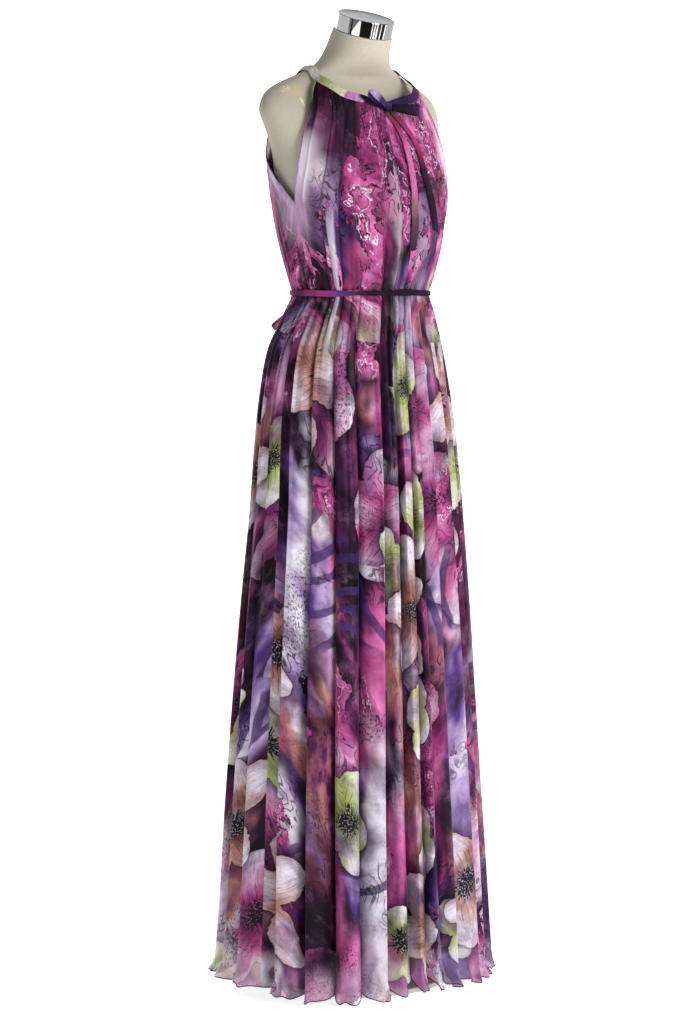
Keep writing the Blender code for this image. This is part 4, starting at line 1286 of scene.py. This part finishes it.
def build_paper(name, profile, start, end, glow):
    """A part of the paper between two angles. Far from the dress it glows as the wall does."""
    f = Finish(name + "_paper", Roughness=0.9, Emission_Color=(1.0, 1.0, 1.0))
    place = f.place()
    far = f.step(f.vector("LENGTH", place), PAPER_RADIUS / 4, PAPER_RADIUS)
    f.set(Emission_Strength=far * (WALL_GLOW - glow) + glow)
    f.set(Base_Color=f.mix(f.noise(place, 3.0), (0.93, 0.93, 0.93), (0.96, 0.96, 0.96)))
    return build_curved(name, start, end, 2 + (end - start) // 4, profile, f.material)


def build_studio():
    """Pale paper all round and soft lights."""
    build_paper("floor", [(0.0, 0.0), (PAPER_RADIUS, 0.0)], 0, 360, FLOOR_GLOW)
    wall = [(PAPER_RADIUS + PAPER_BEND * out, PAPER_BEND * up) for up, out in arc(16)]
    wall.append((PAPER_RADIUS + PAPER_BEND, PAPER_RISE))
    build_paper("backdrop", wall, BACKDROP_START, BACKDROP_END, WALL_GLOW)
    surround = build_paper("surround", wall, BACKDROP_END, BACKDROP_START + 360, WALL_GLOW)
    surround.visible_diffuse = surround.visible_glossy = surround.visible_transmission = False
    surround.visible_shadow = False

    world = bpy.data.worlds.new("studio")
    bpy.context.scene.world = world
    world.use_nodes = True
    background = world.node_tree.nodes["Background"]
    background.inputs["Color"].default_value = (1.0, 1.0, 1.0, 1)
    background.inputs["Strength"].default_value = WORLD_GLOW

    for light in LIGHTS:
        area = bpy.data.lights.new(light.name, "AREA")
        area.shape, area.size, area.energy = "SQUARE", light.width, light.power
        lamp = bpy.data.objects.new(light.name, area)
        lamp.location = place_round(light.azimuth, light.distance, light.height)
        lamp.rotation_euler = (Vector(light.aim) - lamp.location).to_track_quat("-Z", "Y").to_euler()
        lamp.visible_glossy = light.name != "fill"
        bpy.context.scene.collection.objects.link(lamp)


def build_card(name, card, distance, low, high, seen_by):
    """A curved card that the camera doesn't see. Either reflections see it or soft light does."""
    f = Finish(name + "_card", Roughness=1.0, Specular_IOR_Level=0.0)
    f.set(Base_Color=f.mix(f.noise(f.place(), 2.0), card.colour, tuple(0.8 * c for c in card.colour)))
    made = build_curved(name, card.start, card.end, 12, [(distance, low), (distance, high)], f.material)
    made.visible_camera = made.visible_shadow = made.visible_transmission = False
    made.visible_diffuse = seen_by == "diffuse"
    made.visible_glossy = seen_by == "glossy"


def build_camera():
    """It stands level with the waist and looks down a little."""
    camera = bpy.data.objects.new("camera", bpy.data.cameras.new("camera"))
    camera.data.lens, camera.data.sensor_width = CAMERA_LENS, CAMERA_SENSOR
    camera.location = place_round(CAMERA_AZIMUTH, CAMERA_DISTANCE, WAIST_HEIGHT)
    down = CAMERA_DISTANCE * math.tan(math.radians(CAMERA_TILT))
    aim = Vector((0, 0, WAIST_HEIGHT - down)) - camera.location
    turn = Matrix.Rotation(math.radians(CAMERA_TURN), 3, "Z")
    camera.rotation_euler = (turn @ aim.to_track_quat("-Z", "Y").to_matrix()).to_euler()
    bpy.context.scene.collection.objects.link(camera)
    bpy.context.scene.camera = camera


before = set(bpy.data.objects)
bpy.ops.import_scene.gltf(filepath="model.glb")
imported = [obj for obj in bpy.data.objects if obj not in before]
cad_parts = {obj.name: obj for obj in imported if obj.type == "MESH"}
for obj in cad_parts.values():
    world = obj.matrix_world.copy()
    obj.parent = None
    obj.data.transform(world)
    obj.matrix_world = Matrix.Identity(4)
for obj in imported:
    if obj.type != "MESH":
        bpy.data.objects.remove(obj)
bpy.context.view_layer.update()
bpy.context.scene.view_settings.view_transform = "Standard"

build_camera()
build_studio()
for i, card in enumerate(CARDS):
    build_card(f"card_{i}", card, CARD_DISTANCE, CARD_LOW, CARD_HIGH, "glossy")
build_card("flag", FLAG, FLAG_DISTANCE, FLAG_LOW, FLAG_HIGH, "diffuse")

LINED, SHEER = chiffon("chiffon_lined", False), chiffon("chiffon_sheer", True)
THREAD = tie_cloth("hem_thread", (0.3, PLUM), (0.7, (0.16, 0.04, 0.13)))
BAND = tie_cloth(
    "band_chiffon",
    (0.00, NIGHT), (0.04, DEEP), (0.08, NIGHT), (0.13, DEEP), (0.20, BROWN), (0.28, PEACH), (0.36, MAGENTA),
    (0.48, PLUM), (0.60, LILAC), (0.72, CREAM), (0.775, PALE), (0.79, LIME), (0.865, CREAM), (0.872, PINK),
    (0.915, LILAC), (0.925, NIGHT), (1.00, NIGHT),
)
BELT = tie_cloth(
    "belt_chiffon",
    (0.00, PLUM), (0.12, VIOLET), (0.16, MAGENTA), (0.24, PLUM), (0.31, MAGENTA), (0.36, VIOLET),
    (0.40, PLUM), (0.415, INK), (0.66, INK), (0.72, VIOLET), (0.85, MAGENTA), (1.00, PLUM),
)
ROSE_TAIL = tie_cloth(
    "tail_rose",
    (0.0, INK), (0.04, BROWN), (0.10, CRIMSON), (0.20, MAGENTA), (0.30, PINK), (0.58, PINK),
    (0.68, ROSE), (0.80, (0.09, 0.045, 0.06)), (1.0, NIGHT),
)
NIGHT_TAIL = tie_cloth(
    "tail_night",
    (0.0, NIGHT), (0.08, CRIMSON), (0.30, MAGENTA), (0.42, CRIMSON), (0.52, NIGHT),
    (0.85, INK), (1.0, NIGHT),
)
LILAC_LOOP = tie_cloth(
    "loop_lilac",
    (0.0, NIGHT), (0.2, DEEP), (0.42, VIOLET), (0.5, LILAC), (0.64, LILAC), (0.8, DEEP),
)
NIGHT_LOOP = tie_cloth("loop_night", (0.0, INK), (0.44, INK), (0.49, ROSE), (0.54, NIGHT), (0.8, INK))
PINK_LOOP = tie_cloth(
    "loop_pink",
    (0.0, PLUM), (0.3, LILAC), (0.42, BLUSH), (0.5, PLUM), (0.6, BLUSH), (1.0, LILAC),
)
EDGE = tie_cloth(
    "edge_chiffon",
    (0.0, LIME), (0.1, NIGHT), (0.18, ROSE), (0.3, LILAC), (0.5, LILAC), (0.53, NIGHT), (1.0, PLUM),
)
KNOT = tie_cloth("knot_chiffon", (0.0, INK), (0.5, NIGHT), (1.0, VIOLET))

build_form()
build_cap()
coat = powder_coat()
for node in ("stand_pole", "stand_base"):
    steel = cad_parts[node].data
    steel.materials.clear()
    steel.materials.append(coat)

front, front_hem, front_grid = build_panel("front_cloth", "front_panel", RIGHT_SEAM, LEFT_SEAM, True, 0.0)
back, back_hem, back_grid = build_panel(
    "back_cloth", "back_panel", LEFT_SEAM, len(FOLDS) + RIGHT_SEAM, False, BACK_PRINT
)
edges = [
    build_binding("armhole_edge_right", "armhole_binding_right", front_grid, back_grid, 0),
    build_binding("armhole_edge_left", "armhole_binding_left", front_grid, back_grid, -1),
]
declare_panel(front_grid)
declare_panel(back_grid)
band_front = build_neckband()
build_belt()

ahead, behind = Vector((0, -1, 0)), Vector((0, 1, 0))
knot_at = band_front + ahead * (NECK_KNOT_OUT + NECK_KNOT.y)
build_bow(
    "neck", knot_at, NECK_KNOT, ahead,
    loops=(("right", NECK_LOOP_RIGHT, LILAC_LOOP), ("left", NECK_LOOP_LEFT, NIGHT_LOOP)),
    tails=(
        ("right", NECK_TAIL_RIGHT, NECK_TIE, NECK_TAIL_THICK, 0.3, ROSE_TAIL),
        ("left", NECK_TAIL_LEFT, NECK_TIE, NECK_TAIL_THICK, -0.8, NIGHT_TAIL),
    ),
    under="front_cloth",
)
knot_at = Vector(on_envelope(math.pi, 0.0, BELT_KNOT_OUT + BELT_KNOT.y))
build_bow(
    "belt", knot_at, BELT_KNOT, behind,
    loops=(("right", BELT_LOOP_RIGHT, PINK_LOOP), ("left", BELT_LOOP_LEFT, ROSE_TAIL)),
    tails=(
        ("right", BELT_TAIL_RIGHT, BELT_TIE, TIE_THICK, 0.5, ROSE_TAIL),
        ("left", BELT_TAIL_LEFT, BELT_TIE, TIE_THICK, -0.5, NIGHT_TAIL),
    ),
    under="back_cloth",
)
